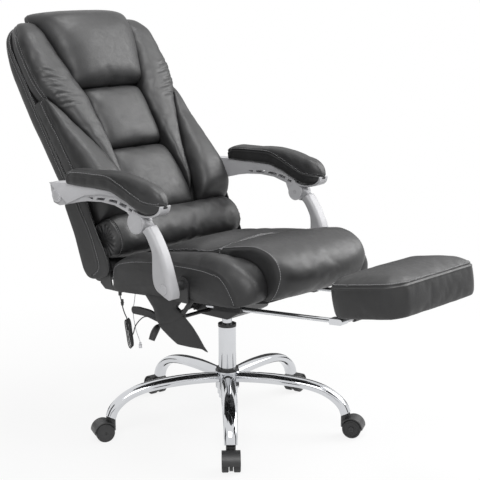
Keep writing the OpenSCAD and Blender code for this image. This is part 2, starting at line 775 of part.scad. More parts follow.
module arm_brackets() {
    color(black_steel) in_back() both_sides() {
        side_plate(back_half, ear) {
            translate(knuckle_back) polygon(bracket_shares * eye_r);
            translate(knuckle_back) circle(r = eye_r);
        }
        side_pin(back_half + ear, beam_in - part_gap - back_half - ear, knuckle_back,
                 pin_d + ear * 3);
        side_pin(back_half, beam_out - washer - back_half, knuckle_back, pin_d);
    }
}

// BACKREST

board_front = pad_base - board;     // distance of the board's front face behind the hinge
back_board_half = back_half * 0.92;

module board_outline(half) {
    top = back_height * 0.975;
    low = -back_height * 0.06;
    cut = back_height * 0.1;
    polygon([[-half, low], [half, low], [half, top - cut], [half - cut, top],
             [cut - half, top], [-half, top - cut]]);
}

module back_board() {
    color(plywood) in_back() translate([0, pad_base, 0]) rotate([90, 0, 0])
        linear_extrude(board) board_outline(back_board_half);
}

// Space that the board takes behind the pads
module board_room() {
    translate([0, pad_base + over, 0]) rotate([90, 0, 0])
        linear_extrude(board + over) board_outline(back_board_half);
}

// Ring of a back part: height, middle across, half width, seam behind the hinge, rear, front
function back_ring(up, across, half, seam, rear, front, rear_share, front_share, n) =
    [for (p = section(half, rear, front, rear_share, front_share, n)) [across + p[0], seam + p[1], up]];

// Stations of the boxing: shares of the back's height, half width and boxing depth, and of how
// far its front face falls back
boxing_shares = [[-0.13, 1, 0.73, 0.57], [-0.064, 1, 1, 0.3], [0.014, 1, 1.22, 0],
    [0.11, 1, 0.98, 0], [0.23, 1, 0.83, 0], [0.374, 1, 0.95, 0], [0.5, 1, 1, 0],
    [0.634, 1, 1.07, 0], [0.8, 1, 0.97, 0], [0.88, 1, 0.66, 0], [0.937, 0.968, 0.36, 0],
    [0.985, 0.84, 0.14, 0], [1, 0.7, 0.06, 0]];
boxing_points = 26;
back_underside = seat_height - board * 2;

module back_boxing() {
    color(black_soft) difference() {
        in_back() difference() {
            skin([for (s = boxing_shares)
                back_ring(back_height * s[0], 0, back_half * s[1], pad_base + boxing * s[3],
                          boxing * s[2], 0, 0.4, 0.4, boxing_points)]);
            both_sides() translate([rail_x, rail_front, rail_low])
                cube([ear + over, rail_rear - rail_front, rail_top - rail_low]);
        }
        // level underside
        translate([-back_width, hinge[0] - back_height / 2, back_underside - back_height])
            cube([back_width * 2, back_height, back_height]);
    }
}

// Stations of a centre pad: shares of the back's height, half width, seam and crown
pillow_shares = [[0.693, 0.86, 0.22, 0.2], [0.7, 0.92, 0.24, 0.33], [0.712, 0.95, 0.25, 0.5],
    [0.735, 0.965, 0.25, 0.63], [0.763, 0.975, 0.24, 0.68], [0.838, 0.99, 0.16, 0.84],
    [0.894, 1, 0.06, 0.94], [0.95, 1, -0.04, 0.92], [0.976, 0.985, -0.07, 0.76],
    [1.006, 0.95, -0.08, 0.46], [1.024, 0.89, -0.06, 0.22], [1.032, 0.78, -0.03, 0.1]];
middle_shares = [[0.403, 0.93, 0.3, 0.2], [0.413, 0.98, 0.4, 0.38], [0.46, 1, 0.44, 0.52],
    [0.54, 1, 0.44, 0.56], [0.62, 1, 0.43, 0.54], [0.665, 0.985, 0.4, 0.42],
    [0.688, 0.93, 0.3, 0.2]];
lower_shares = [[0.113, 1.02, 0.34, 0.2], [0.13, 1.09, 0.5, 0.36], [0.195, 1.11, 0.54, 0.46],
    [0.28, 1.08, 0.53, 0.47], [0.35, 1.02, 0.5, 0.44], [0.385, 0.98, 0.42, 0.32],
    [0.399, 0.93, 0.3, 0.16]];
pad_points = 24;

module centre_pad(shares, half, thick) {
    color(black_soft) in_back() skin([for (s = shares)
        back_ring(back_height * s[0], 0, half * s[1], board_front - thick * s[2],
                  thick * (s[2] < 0 ? 0.02 - s[2] * 0.1 : s[2]), thick * s[3], 0.2, 0.62,
                  pad_points)]);
}

module head_pillow() {
    color(black_soft) in_back() difference() {
        skin([for (s = pillow_shares)
            back_ring(back_height * s[0], 0, pillow_half * s[1], board_front - pillow_thick * s[2],
                      pillow_thick * s[2] + (s[0] > 1 ? board * 0.8 : 0),
                      pillow_thick * s[3], 0.22, 0.62, pad_points)]);
        board_room();
    }
}
module back_middle_pad() { centre_pad(middle_shares, mid_half, mid_thick); }
module back_lower_pad() { centre_pad(lower_shares, mid_half, mid_thick); }

// Stations of a back bolster: shares of the back's height, inner and outer edge as shares of
// the back's half width, seam and crown as shares of the bolster's thickness
side_shares = [[0.16, 0.485, 0.51, 0.3, 0.1], [0.19, 0.477, 0.54, 0.45, 0.25],
    [0.237, 0.475, 0.596, 0.56, 0.32], [0.342, 0.446, 0.7, 0.62, 0.32],
    [0.46, 0.43, 0.776, 0.55, 0.4], [0.56, 0.43, 0.89, 0.5, 0.44], [0.665, 0.43, 0.985, 0.48, 0.46],
    [0.7, 0.485, 0.99, 0.46, 0.48], [0.735, 0.508, 0.995, 0.44, 0.5],
    [0.763, 0.514, 0.995, 0.42, 0.52], [0.838, 0.52, 0.99, 0.4, 0.5], [0.894, 0.525, 0.975, 0.4, 0.46],
    [0.94, 0.525, 0.945, 0.36, 0.4], [0.975, 0.522, 0.88, 0.26, 0.32], [0.995, 0.52, 0.8, 0.12, 0.24],
    [1.005, 0.53, 0.72, 0.04, 0.12]];
side_points = 20;

module back_bolster() {
    color(black_soft) in_back() difference() {
        skin([for (s = side_shares)
            back_ring(back_height * s[0], back_half * (s[1] + s[2]) / 2 + soft_gap,
                      back_half * (s[2] - s[1]) / 2, board_front - side_thick * s[3],
                      side_thick * s[3] + board, side_thick * s[4], 0.25, 0.62, side_points)]);
        board_room();
    }
}

// Stations of a wing, in the same shares as the bolster, of the wing's thickness
wing_shares = [[0.113, 0.52, 0.97, 0.22, 0.3], [0.13, 0.505, 0.99, 0.28, 0.46],
    [0.165, 0.515, 1, 0.34, 0.6], [0.21, 0.575, 1, 0.37, 0.62], [0.264, 0.635, 1, 0.37, 0.62],
    [0.342, 0.71, 1, 0.34, 0.52], [0.46, 0.787, 1, 0.3, 0.36], [0.56, 0.9, 1, 0.26, 0.22],
    [0.61, 0.95, 0.99, 0.22, 0.12]];
wing_points = 20;

module back_wing() {
    color(black_soft) in_back() difference() {
        skin([for (s = wing_shares)
            back_ring(back_height * s[0], back_half * (s[1] + s[2]) / 2,
                      back_half * (s[2] - s[1]) / 2, board_front - wing_thick * s[3],
                      wing_thick * s[3] + board, wing_thick * s[4], 0.25, 0.55, wing_points)]);
        board_room();
    }
}

// Stations of the lumbar roll: shares of the back's half width and of the roll's own section
lumbar_shares = [[-0.97, 0.5], [-0.95, 0.78], [-0.9, 0.92], [-0.76, 0.98], [-0.4, 1], [0, 1],
                 [0.4, 1], [0.76, 0.98], [0.9, 0.92], [0.95, 0.78], [0.97, 0.5]];
lumbar_points = 20;

module lumbar_roll() {
    color(black_soft) in_back() skin([for (s = lumbar_shares)
        [for (p = section(lumbar_deep * s[1], lumbar_tall * s[1], lumbar_tall * s[1], 0.9, 0.9,
                          lumbar_points))
            [back_half * s[0], p[0] - lumbar_out, lumbar_up + p[1]]]]);
}

// ARMS

// Outlines in the side view, as shares of the beam's span from the disc's pivot
arm_line_shares = [[1.097, 0.231], [1.03, 0.24], [0.873, 0.244], [0.696, 0.238], [0.505, 0.241],
    [0.301, 0.234], [0.14, 0.184], [0.01, 0.13], [-0.1, 0.09], [-0.227, 0.094],
    [-0.314, 0.137], [-0.345, 0.17]];
beam_low_shares = [[1.084, 0.161], [1.054, 0.057], [0.973, 0.037], [0.863, 0.06],
    [0.736, 0.094], [0.595, 0.117], [0.425, 0.13], [0.258, 0.12], [0.11, 0.08], [0.047, 0.02]];
rib_shares = [[0.863, 0.067], [0.629, 0.164], [0.421, 0.197], [0.237, 0.197], [0.09, 0.157],
              [-0.03, 0.1]];
slot_shares = [
    [[0.595, 0.151], [0.525, 0.157], [0.535, 0.135]],
    [[0.482, 0.16], [0.371, 0.171], [0.391, 0.144], [0.492, 0.14]],
    [[0.321, 0.165], [0.221, 0.164], [0.231, 0.135], [0.338, 0.144]],
    [[0.191, 0.155], [0.107, 0.137], [0.124, 0.107], [0.207, 0.127]],
    [[0.084, 0.117], [0.037, 0.107], [0.043, 0.084], [0.094, 0.094]]];
beam_front = 8;      // how many points of the arm's line the beam follows
function arm_points(shares) = [for (s = shares) disc_at + s * arm_span];

cheek = beam_width * 0.22;
disc_thick = beam_width * 0.32;
lug_in = beam_in + cheek + part_gap;
disc_in = beam_out - disc_thick + washer;
lug_out = disc_in - part_gap;
rim = beam_width * 0.1;

module beam_outline() {
    top = arm_points(arm_line_shares);
    low = arm_points(beam_low_shares);
    polygon(concat([for (i = [beam_front - 1 : -1 : 0]) top[i]], low));
}

module arm_beam() {
    color(silver) difference() {
        union() {
            side_plate(beam_in, beam_width - rim) beam_outline();
            // raised band above the rib line
            side_plate(beam_out - rim * 2, rim * 2) polygon(concat(
                [for (i = [beam_front - 1 : -1 : 0]) arm_points(arm_line_shares)[i]],
                arm_points(rib_shares)));
            side_plate(beam_out - rim * 2, rim * 2) translate(knuckle_at)
                circle(r = eye_r + washer);
            // inner cheek at the disc's pivot
            side_plate(beam_in, cheek) {
                translate(disc_at) circle(r = disc_r * 0.85);
                polygon([disc_at + [-disc_r * 0.5, 0], disc_at + [disc_r * 0.8, 0],
                         arm_points(beam_low_shares)[8], arm_points(arm_line_shares)[7]]);
            }
        }
        for (s = slot_shares) side_plate(beam_in - over, beam_width + over * 2)
            polygon(arm_points(s));
        // the post's head turns in this room
        side_pin(beam_in + cheek, beam_width, disc_at, disc_r * 2 + open_gap * 2);
        side_pin(beam_in - over, beam_width, disc_at, pin_d);
        side_pin(beam_in - over, beam_width + over * 2, knuckle_at, pin_d + run_gap * 2);
    }
}

// Disc and pin of the open pivot
module arm_disc() {
    color(silver) {
        side_pin(disc_in, disc_thick - washer, disc_at, disc_r * 2);
        side_pin(disc_in, disc_thick - washer / 2, disc_at, disc_r * 1.8);
        side_pin(beam_in, disc_in - beam_in + over, disc_at, pin_d);
    }
}

// Outline of the post, as shares of its rise from its foot's pivot
post_shares = [[0.394, 0.955], [0.413, 0.826], [0.342, 0.723], [0.284, 0.626], [0.258, 0.413],
    [0.265, 0.148], [0.206, 0], [0.084, -0.09], [-0.123, -0.148], [-0.174, -0.123],
    [-0.206, -0.077], [-0.194, 0.155], [-0.232, 0.445], [-0.2, 0.652], [-0.058, 0.865],
    [0.116, 1.03], [0.239, 1.04], [0.35, 1.02]];
// Line along which the front of the post is bevelled outward
bevel_shares = [[-0.271, 0.445], [-0.058, 0.194], [0.058, -0.084], [-0.1, -0.3], [-0.5, -0.3],
                [-0.5, 0.445]];

module arm_post() {
    color(silver) difference() {
        union() {
            difference() {
                side_plate(beam_in, beam_width)
                    polygon([for (s = post_shares) post_foot + s * link_rise]);
                // clear of the disc and of the cheek at the head
                side_pin(disc_in - part_gap, beam_width, disc_at, disc_r * 2 + open_gap * 4);
                side_pin(beam_in - over, cheek + part_gap + over, disc_at,
                         disc_r * 2 + open_gap * 4);
                side_plate(beam_out - rim, beam_width)
                    polygon([for (s = bevel_shares) post_foot + s * link_rise]);
            }
            // head that turns between the cheek and the disc
            side_plate(lug_in, lug_out - lug_in) {
                translate(disc_at) circle(r = disc_r * 0.85);
                polygon([disc_at + [0, disc_r * 0.84], disc_at + [0, -disc_r * 0.84],
                         post_foot + post_shares[1] * link_rise,
                         post_foot + post_shares[15] * link_rise]);
            }
        }
        side_pin(beam_in - over, beam_width + over * 2, disc_at, pin_d + open_gap * 2);
        side_pin(beam_in - over, beam_width + over * 2, post_foot, pin_d + run_gap * 2);
        // recess for the pivot's screw head
        side_pin(beam_out - washer * 2, washer * 2 + over, post_foot, pin_d + ear * 2);
    }
}

// Stations of an arm pad from the rear: its point on the arm's line, then shares of the span
// for the seam and the crown above that line, and of the pad's half width
arm_pad_shares = [[0, 0.01, 0.02, 0.6], [0, 0.03, 0.04, 0.85], [1, 0.055, 0.08, 0.95],
    [2, 0.075, 0.11, 1], [3, 0.11, 0.14, 1], [4, 0.11, 0.145, 1], [5, 0.115, 0.165, 1],
    [6, 0.11, 0.205, 1], [7, 0.11, 0.24, 1], [8, 0.09, 0.24, 1], [9, 0.055, 0.17, 0.98],
    [10, 0.035, 0.07, 0.88], [11, 0.015, 0.03, 0.6]];
arm_pad_back_share = 0.01;
arm_pad_points = 18;

module arm_pad() {
    line = arm_points(arm_line_shares);
    color(black_soft) skin([for (i = [0 : len(arm_pad_shares) - 1])
        let (s = arm_pad_shares[i], at = line[s[0]] + [i == 0 ? arm_span * arm_pad_back_share : 0, 0],
             seam = arm_span * s[1], crown = arm_span * (s[2] - s[1]))
        [for (p = section(arm_pad_width / 2 * s[3], crown, seam, 0.6, 0.25, arm_pad_points))
            [arm_offset + p[0], at[0], at[1] + seam + p[1]]]]);
}

// Brackets and pins that carry the posts on the seat board
module post_pivots() {
    x = max(seat_half, seat_board_width / 2) + part_gap;
    low = seat_height - board * 0.7;
    color(black_steel) both_sides() {
        translate([foot_rod_x - eye_r, -post_y - disc_r * 0.8, low])
            cube([x - foot_rod_x + eye_r + ear, disc_r * 1.6, seat_height - low]);
        side_plate(x, ear) {
            translate(post_foot) circle(r = disc_r * 0.8);
            translate([-post_y - disc_r * 0.8, low]) square([disc_r * 1.6, post_foot[1] - low]);
        }
        side_pin(x + ear, beam_in - part_gap - x - ear, post_foot, pin_d + ear * 3);
        side_pin(x, beam_out - washer * 2 - run_gap - x + washer, post_foot, pin_d);
        side_pin(beam_out - washer * 2 + run_gap, washer, post_foot, pin_d + ear * 1.5);
    }
}

// FOOTREST

rod_bore_d = foot_rod_d + run_gap * 2;
guide_box = foot_rod_d + ear * 2;
block_length = eye_r * 2;
block_half = foot_rise - part_gap;
guide_front = (foot_y - guide_y) / cos(rod_slope);

module footrest_guides() {
    color(black_steel) both_sides() {
        along_rods() difference() {
            translate([foot_rod_x - guide_box / 2, guide_front, -guide_box / 2])
                cube([guide_box, guide_length, guide_box]);
            translate([foot_rod_x, guide_front - over, 0]) rotate([-90, 0, 0])
                cylinder(d = rod_bore_d, h = guide_length + over * 2);
        }
        // hangers from the board
        for (y = [eye_r, guide_length - eye_r * 2]) {
            low = foot_z - (foot_y - guide_y + y) * tan(rod_slope) + foot_rod_d / 2 + ear / 2;
            translate([foot_rod_x - ear, -guide_y + y - eye_r / 2, low])
                cube([ear * 2, eye_r, seat_height - low]);
        }
    }
}

module footrest_rods() {
    color(black_steel) along_rods() both_sides() difference() {
        union() {
            translate([foot_rod_x, 0, 0]) rotate([-90, 0, 0])
                cylinder(d = foot_rod_d, h = foot_rod_length);
            // end block that holds the cross tube
            translate([foot_rod_x - block_width / 2, 0, -block_half])
                cube([block_width, block_length, block_half * 2]);
            side_pin(foot_rod_x - block_width / 2, block_width, [0, 0], block_half * 2);
        }
        side_pin(foot_rod_x - block_width, block_width, [0, 0], cross_d);
    }
}

module footrest_crossbar() {
    color(steel) along_rods() difference() {
        side_pin(-foot_rod_x, foot_rod_x * 2, [0, 0], cross_d);
        side_pin(-foot_rod_x - over, (foot_rod_x + over) * 2, [0, 0], cross_d / 2);
    }
}

strap_width = eye_r * 2;

foot_board_rear = ear;

module footrest_board() {
    inset = foot_corner / 3;
    color(black_plastic) in_foot() {
        translate([0, 0, foot_rise]) linear_extrude(board * 0.8) polygon([
            for (s = [[1, 0.1], [1, 0.9], [0.86, 1], [-0.86, 1], [-1, 0.9], [-1, 0.1],
                      [-0.86, 0], [0.86, 0]])
            [(foot_width / 2 - inset) * s[0],
             foot_board_rear - (foot_length - foot_back - inset) * s[1]]]);
        // straps round the cross tube
        both_sides() difference() {
            union() {
                side_pin(foot_rod_x / 2, strap_width, [0, 0], cross_d + ear * 2);
                translate([foot_rod_x / 2, -cross_d / 2 - ear, 0])
                    cube([strap_width, cross_d / 2 + ear * 2, foot_rise + ear / 2]);
            }
            side_pin(foot_rod_x / 2 - over, strap_width + over * 2, [0, 0],
                     cross_d + run_gap * 2);
        }
    }
}

// Ring of a rounded rectangle
function round_ring(half_x, half_y, corner, at_y, z) =
    [for (q = [0 : 3], i = [0 : 5])
        let (t = 90 * q + 18 * i, sx = q == 0 || q == 3 ? 1 : -1, sy = q < 2 ? 1 : -1)
        [sx * (half_x - corner) + corner * cos(t), at_y + sy * (half_y - corner) + corner * sin(t),
         z]];

// Rings of the footrest pad: share of its side height, share of its crown, share of its inset
foot_shares = [[0, 0, 0.3], [0.04, 0, 0.14], [0.2, 0, 0.02], [0.5, 0, -0.02], [0.85, 0, 0],
    [1, 0, 0], [1, 0.3, 0.14], [1, 0.56, 0.36], [1, 0.78, 0.66], [1, 0.92, 1.02], [1, 1, 1.5]];

module footrest_pad() {
    color(black_soft) in_foot() skin([for (s = foot_shares)
        let (inset = foot_corner * s[2])
        round_ring(foot_width / 2 - inset, foot_length / 2 - inset,
                   max(foot_corner - inset, foot_corner / 4),
                   foot_back - foot_length / 2,
                   foot_rise + board * 0.8 + foot_side * s[0] + foot_crown * s[1])]);
}

// REMOTE CONTROL'S POUCH

pouch_unit = link_run;
// Outlines in the side view, as shares of the post's run from the post's foot pivot
pouch_body_shares = [[1.5, -0.52], [1.15, -1.24], [0.8, -1.45], [0.59, -1.4], [0.4, -1.0], [0.95, -0.57]];
pouch_flap_shares = [[1.13, -1.42], [0.35, -0.96], [0.05, -1.1], [-0.35, -1.38], [-0.72, -1.7], [-0.99, -1.78],
                     [-0.5, -1.76], [0.1, -1.74], [0.59, -1.63]];
strap_shares = [[-0.1, -0.466], [0.1, -0.466], [0.47, -1.0], [0.3, -1.05]];

module remote_pouch() {
    color(black_soft) {
        side_plate(-pouch_x - pouch_thick / 2, pouch_thick)
            polygon([for (s = pouch_body_shares) post_foot + s * pouch_unit]);
        side_plate(-pouch_x - pouch_thick / 2, pouch_thick / 3)
            polygon([for (s = pouch_flap_shares) post_foot + s * pouch_unit]);
        side_plate(-pouch_x - pouch_thick / 2, pouch_thick / 4)
            polygon([for (s = strap_shares) post_foot + s * pouch_unit]);
    }
}

// LEADS

lead_x = -245;       // plane of the massage lead
lead_top = [lead_x, 158, 386];
plug_top = [lead_x, 155, 376];
plug_end = [lead_x, 150, 360];
hank_top = [lead_x, 138, 322];
power_x = -196;
power_end = [power_x, 136, 250];

module lead_fittings() {
    bar_low = hinge[1] - hinge_rise * 1.3;
    color(black_plastic) {
        translate(lead_top) cylinder(d = lead_d * 3, h = bar_low - lead_top[2]);
        // plug and socket in the lead
        translate(plug_end) cylinder(d = lead_d * 2.4, h = plug_top[2] - plug_end[2]);
        translate(plug_end + [0, 0, lead_d * 2]) cylinder(d = lead_d * 3, h = lead_d);
        translate([power_x, 150, bar_low - lead_d * 2]) cylinder(d = lead_d * 2, h = lead_d * 2);
    }
}

module lead_upper() {
    color(black_plastic) tube(curve([lead_top, [lead_x, 157, 381], plug_top], 2), lead_d, 8);
}

module lead_lower() {
    start = unit(hank_path[1] - hank_path[0]);
    color(black_plastic) tube(curve([plug_end, [lead_x, 147, 350], [lead_x, 141, 338],
        [lead_x, 134, 328], hank_top - start * lead_d * 1.2, hank_top - start * soft_gap], 3),
        lead_d, 8);
}

// The hank hangs from its top in loops that are drawn in at the tie
hank_pitch = lead_d * 1.35;
hank_tie_share = 0.45;
hank_lean_share = 0.18;
hank_rings = 24;
hank_path = [for (i = [0 : hank_loops * hank_rings])
    let (t = 360 * i / hank_rings, k = i / hank_rings,
         drop = (1 - cos(t)) * (hank_height / 2 - lead_d * 0.3 * k))
    hank_top + [hank_pitch * k,
                (hank_half - lead_d * 0.3 * k) * sin(t) * (1 - hank_tie_share * sin(t) * sin(t))
                    - drop * hank_lean_share,
                -drop]];
hank_gap = min([for (i = [0 : len(hank_path) - 1], j = [i + 8 : 1 : len(hank_path) - 1])
    norm(hank_path[i] - hank_path[j])]) - lead_d;
echo(hank_least_gap = hank_gap);

module lead_hank() { color(black_plastic) tube(hank_path, lead_d, 6); }

module lead_return() {
    last = hank_path[len(hank_path) - 1];
    end = unit(last - hank_path[len(hank_path) - 2]);
    color(black_plastic) tube(curve([last + end * soft_gap, last + end * lead_d * 1.2,
        [-232, 148, 312], [-234, 142, 296], [-238, 128, 280], [-242, 114, 288], [-246, 98, 316],
        [-251, 62, 345], [-252, 24, 350]], 4), lead_d, 8);
}

module power_lead() {
    bar_low = hinge[1] - hinge_rise * 1.3;
    color(pale_plastic) tube(curve([[power_x, 150, bar_low - lead_d * 2], [power_x, 156, 360],
        [power_x, 162, 330], [power_x, 153, 285], power_end], 5), thin_d, 8);
}

module power_plug() {
    color(pale_plastic) translate(power_end - [0, 0, lead_d * 5]) {
        cylinder(d = lead_d * 2, h = lead_d * 5);
        cylinder(d = lead_d * 3, h = lead_d * 3);
    }
}

base_hub();
base_legs();
hub_ring();
column_tube();
column_bush();
column_bearing();
lift_rod();
lift_cylinder();
tilt_housing();
seat_board();
seat_middle_pad();
right_side() seat_bolster();  // seat_bolster_right
seat_bolster();  // seat_bolster_left
hinge_yoke();
footrest_guides();
post_pivots();
remote_pouch();
recline_lever();
height_lever();
back_board();
back_boxing();
head_pillow();
back_middle_pad();
back_lower_pad();
right_side() back_bolster();  // back_bolster_right
back_bolster();  // back_bolster_left
right_side() back_wing();  // back_wing_right
back_wing();  // back_wing_left
lumbar_roll();
hinge_plates();
arm_brackets();
right_side() arm_beam();  // arm_beam_right
arm_beam();  // arm_beam_left
right_side() arm_pad();  // arm_pad_right
arm_pad();  // arm_pad_left
right_side() arm_disc();  // arm_disc_right
arm_disc();  // arm_disc_left
right_side() arm_post();  // arm_post_right
arm_post();  // arm_post_left
footrest_rods();
footrest_crossbar();
footrest_board();
footrest_pad();
lead_fittings();
lead_upper();
lead_lower();
lead_hank();
lead_return();
power_lead();
power_plug();
for (i = [1 : leg_count]) {
    place_caster(i) caster_hood();
    place_caster(i) caster_wheels();
}
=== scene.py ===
"""Looks of the reclining office chair: camera, cords, cushions, metal and light."""
import json
import math

import bpy
import numpy as np
from mathutils import Matrix, Vector, noise
from mathutils.bvhtree import BVHTree


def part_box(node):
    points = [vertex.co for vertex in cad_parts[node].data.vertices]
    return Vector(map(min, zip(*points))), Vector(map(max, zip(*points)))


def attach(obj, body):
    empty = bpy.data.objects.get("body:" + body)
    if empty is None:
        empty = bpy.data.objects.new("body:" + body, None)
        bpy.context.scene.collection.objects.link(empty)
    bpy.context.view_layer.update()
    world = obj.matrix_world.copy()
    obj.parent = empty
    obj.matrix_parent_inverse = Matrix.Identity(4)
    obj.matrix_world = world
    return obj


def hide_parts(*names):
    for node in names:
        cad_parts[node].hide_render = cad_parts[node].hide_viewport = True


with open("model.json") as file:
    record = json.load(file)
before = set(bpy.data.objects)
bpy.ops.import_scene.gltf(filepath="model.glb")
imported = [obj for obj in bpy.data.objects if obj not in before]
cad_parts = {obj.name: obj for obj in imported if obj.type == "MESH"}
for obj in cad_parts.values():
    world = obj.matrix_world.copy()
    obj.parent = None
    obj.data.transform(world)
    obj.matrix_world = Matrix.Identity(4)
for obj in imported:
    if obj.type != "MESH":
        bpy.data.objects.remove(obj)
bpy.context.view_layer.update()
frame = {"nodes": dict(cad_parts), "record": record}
nodes = frame["nodes"]
scene = bpy.context.scene

# Driving sizes, in metres, from the frame
seat_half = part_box("seat_bolster_left")[1].x
board_low, board_top = (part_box("seat_board")[i].z for i in (0, 1))
seat_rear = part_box("seat_middle_pad")[1].y
back_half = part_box("lumbar_roll")[1].x / 0.97
arm_pad_low, arm_pad_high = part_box("arm_pad_left")
arm_x = (arm_pad_low.x + arm_pad_high.x) / 2
hinge = Vector((0, 0.209, board_low + 0.073))
lean = math.radians(33)
foot_hinge = Vector((0, -0.507, board_low - 0.007))
foot_tilt = math.radians(9.5)
disc_at = Vector((0, 0.005, board_low + 0.191))
arm_span = 0.299
post_foot = Vector((0, -0.090, board_low + 0.036))
knuckle = Vector((0, disc_at.y + arm_span, disc_at.z + 0.037))

mm = 0.001
soft_step = 0.0065          # distance between the points of a cushion's mesh
stitch_pitch = 0.0062
stitch_length = 0.0048
stitch_radius = 0.0005
cloth_stiffness, cloth_frames = 14.0, 13
cloth_share = 0.4           # of a cover's reach, so that the leather stays taut
left_right = ((1, "left"), (-1, "right"))


def new_object(name, data):
    made = bpy.data.objects.new(name, data)
    scene.collection.objects.link(made)
    return made


# CAMERA

def make_camera():
    azimuth, elevation, roll = math.radians(-47.87), math.radians(11.63), -0.0045
    distance, target_z, aside = 3.417, 0.518, 0.036
    focal_share = 1275 / 480
    back = Vector((math.sin(azimuth) * math.cos(elevation),
                   -math.cos(azimuth) * math.cos(elevation), math.sin(elevation)))
    right = Vector((math.cos(azimuth), math.sin(azimuth), 0))
    up = back.cross(right)
    turned_right = right * math.cos(roll) + up * math.sin(roll)
    turned_up = up * math.cos(roll) - right * math.sin(roll)
    data = bpy.data.cameras.new("camera")
    data.sensor_width = 36
    data.lens = focal_share * data.sensor_width
    data.clip_start, data.clip_end = 0.1, 60
    camera = new_object("camera", data)
    place = Vector((0, 0, target_z)) + right * aside + back * distance
    turn = Matrix((turned_right, turned_up, back)).transposed().to_4x4()
    camera.matrix_world = Matrix.Translation(place) @ turn
    scene.camera = camera


make_camera()


# MATERIALS

def node_tree(data, empty=False):
    """The node tree of a material or world."""
    data.use_nodes = True
    if empty:
        data.node_tree.nodes.clear()
    return data.node_tree


def new_material(name):
    made = bpy.data.materials.new(name)
    tree = node_tree(made)
    return made, tree, tree.nodes["Principled BSDF"]


def link(source, target):
    source.id_data.links.new(source, target)


def add(tree, kind, **values):
    node = tree.nodes.new(kind)
    for key, value in values.items():
        if hasattr(node, key):
            setattr(node, key, value)
        else:
            node.inputs[key.replace("_", " ").title()].default_value = value
    return node


def textured(tree, kind, scale, detail=2.0, **values):
    """The value of a texture over the object's own place, in metres."""
    place = add(tree, "ShaderNodeTexCoord")
    node = add(tree, kind, **values)
    node.inputs["Scale"].default_value = scale
    if "Detail" in node.inputs:
        node.inputs["Detail"].default_value = detail
    link(place.outputs["Object"], node.inputs["Vector"])
    return node.outputs["Distance" if kind == "ShaderNodeTexVoronoi" else "Fac"]


def shade_between(tree, source, dark, light, low=0.3, high=0.7):
    """Colour between two shades, as a texture's value goes from low to high."""
    ramp = add(tree, "ShaderNodeValToRGB")
    for stop, at, colour in zip(ramp.color_ramp.elements, (low, high), (dark, light)):
        stop.position = at
        stop.color = (*colour, 1)
    link(source, ramp.inputs["Fac"])
    return ramp.outputs["Color"]


def number_between(tree, source, low, high, from_low=0.3, from_high=0.7):
    node = add(tree, "ShaderNodeMapRange")
    for key, value in (("From Min", from_low), ("From Max", from_high),
                       ("To Min", low), ("To Max", high)):
        node.inputs[key].default_value = value
    link(source, node.inputs["Value"])
    return node.outputs["Result"]


def bumped(tree, bsdf, layers):
    """Chains bumps: (height socket, strength, depth in metres)."""
    last = None
    for source, strength, depth in layers:
        node = add(tree, "ShaderNodeBump")
        node.inputs["Strength"].default_value = strength
        node.inputs["Distance"].default_value = depth
        link(source, node.inputs["Height"])
        if last:
            link(last.outputs["Normal"], node.inputs["Normal"])
        last = node
    link(last.outputs["Normal"], bsdf.inputs["Normal"])


def worn_edges(tree, colour, lighter, low=0.53, high=0.62):
    """Mixes a lighter colour in where the surface turns sharply outward."""
    shape = add(tree, "ShaderNodeNewGeometry")
    share = number_between(tree, shape.outputs["Pointiness"], 0, 1, low, high)
    mix = add(tree, "ShaderNodeMix", data_type="RGBA")
    mix.inputs["B"].default_value = (*lighter, 1)
    link(share, mix.inputs["Factor"])
    link(colour, mix.inputs["A"])
    return mix.outputs["Result"]


def leather(name, dark, light, roughness):
    """Grained leather: soft creases, small cells and pores, paler where it turns sharply."""
    made, tree, bsdf = new_material(name)
    patches = textured(tree, "ShaderNodeTexNoise", 9, 5)
    cells = textured(tree, "ShaderNodeTexVoronoi", 620, feature="SMOOTH_F1")
    pores = textured(tree, "ShaderNodeTexNoise", 1500, 3)
    creases = textured(tree, "ShaderNodeTexNoise", 55, 6, distortion=1.2)
    colour = shade_between(tree, patches, dark, light, 0.35, 0.68)
    lighter = tuple(c * 1.9 for c in light)
    link(worn_edges(tree, colour, lighter, 0.55, 0.72), bsdf.inputs["Base Color"])
    rough = number_between(tree, creases, roughness - 0.04, roughness + 0.07)
    link(rough, bsdf.inputs["Roughness"])
    bumped(tree, bsdf, [(creases, 0.16, 0.0016),
                        (cells, 0.22, 0.0004),
                        (pores, 0.1, 0.0002)])
    bsdf.inputs["Specular IOR Level"].default_value = 0.5
    return made


def metal(name, dark, light, roughness, scale=60):
    made, tree, bsdf = new_material(name)
    cloud = textured(tree, "ShaderNodeTexNoise", scale, 4)
    fine = textured(tree, "ShaderNodeTexNoise", 900, 2)
    link(shade_between(tree, cloud, dark, light), bsdf.inputs["Base Color"])
    rough = number_between(tree, cloud, roughness * 0.7, roughness * 1.4)
    link(rough, bsdf.inputs["Roughness"])
    bsdf.inputs["Metallic"].default_value = 1
    bumped(tree, bsdf, [(fine, 0.08, 0.00002)])
    return made


def paint(name, dark, light, roughness, grain, grain_scale):
    """Paint, plastic, rubber or thread with a fine grain and paler edges."""
    made, tree, bsdf = new_material(name)
    cloud = textured(tree, "ShaderNodeTexNoise", 22, 4)
    fine = textured(tree, "ShaderNodeTexNoise", grain_scale, 3)
    colour = shade_between(tree, cloud, dark, light)
    link(worn_edges(tree, colour, tuple(c * 1.25 for c in light)), bsdf.inputs["Base Color"])
    rough = number_between(tree, cloud, roughness * 0.88, roughness * 1.15)
    link(rough, bsdf.inputs["Roughness"])
    bumped(tree, bsdf, [(fine, grain, 0.0003)])
    return made


def grey(level):
    return (level, level, level * 1.03)


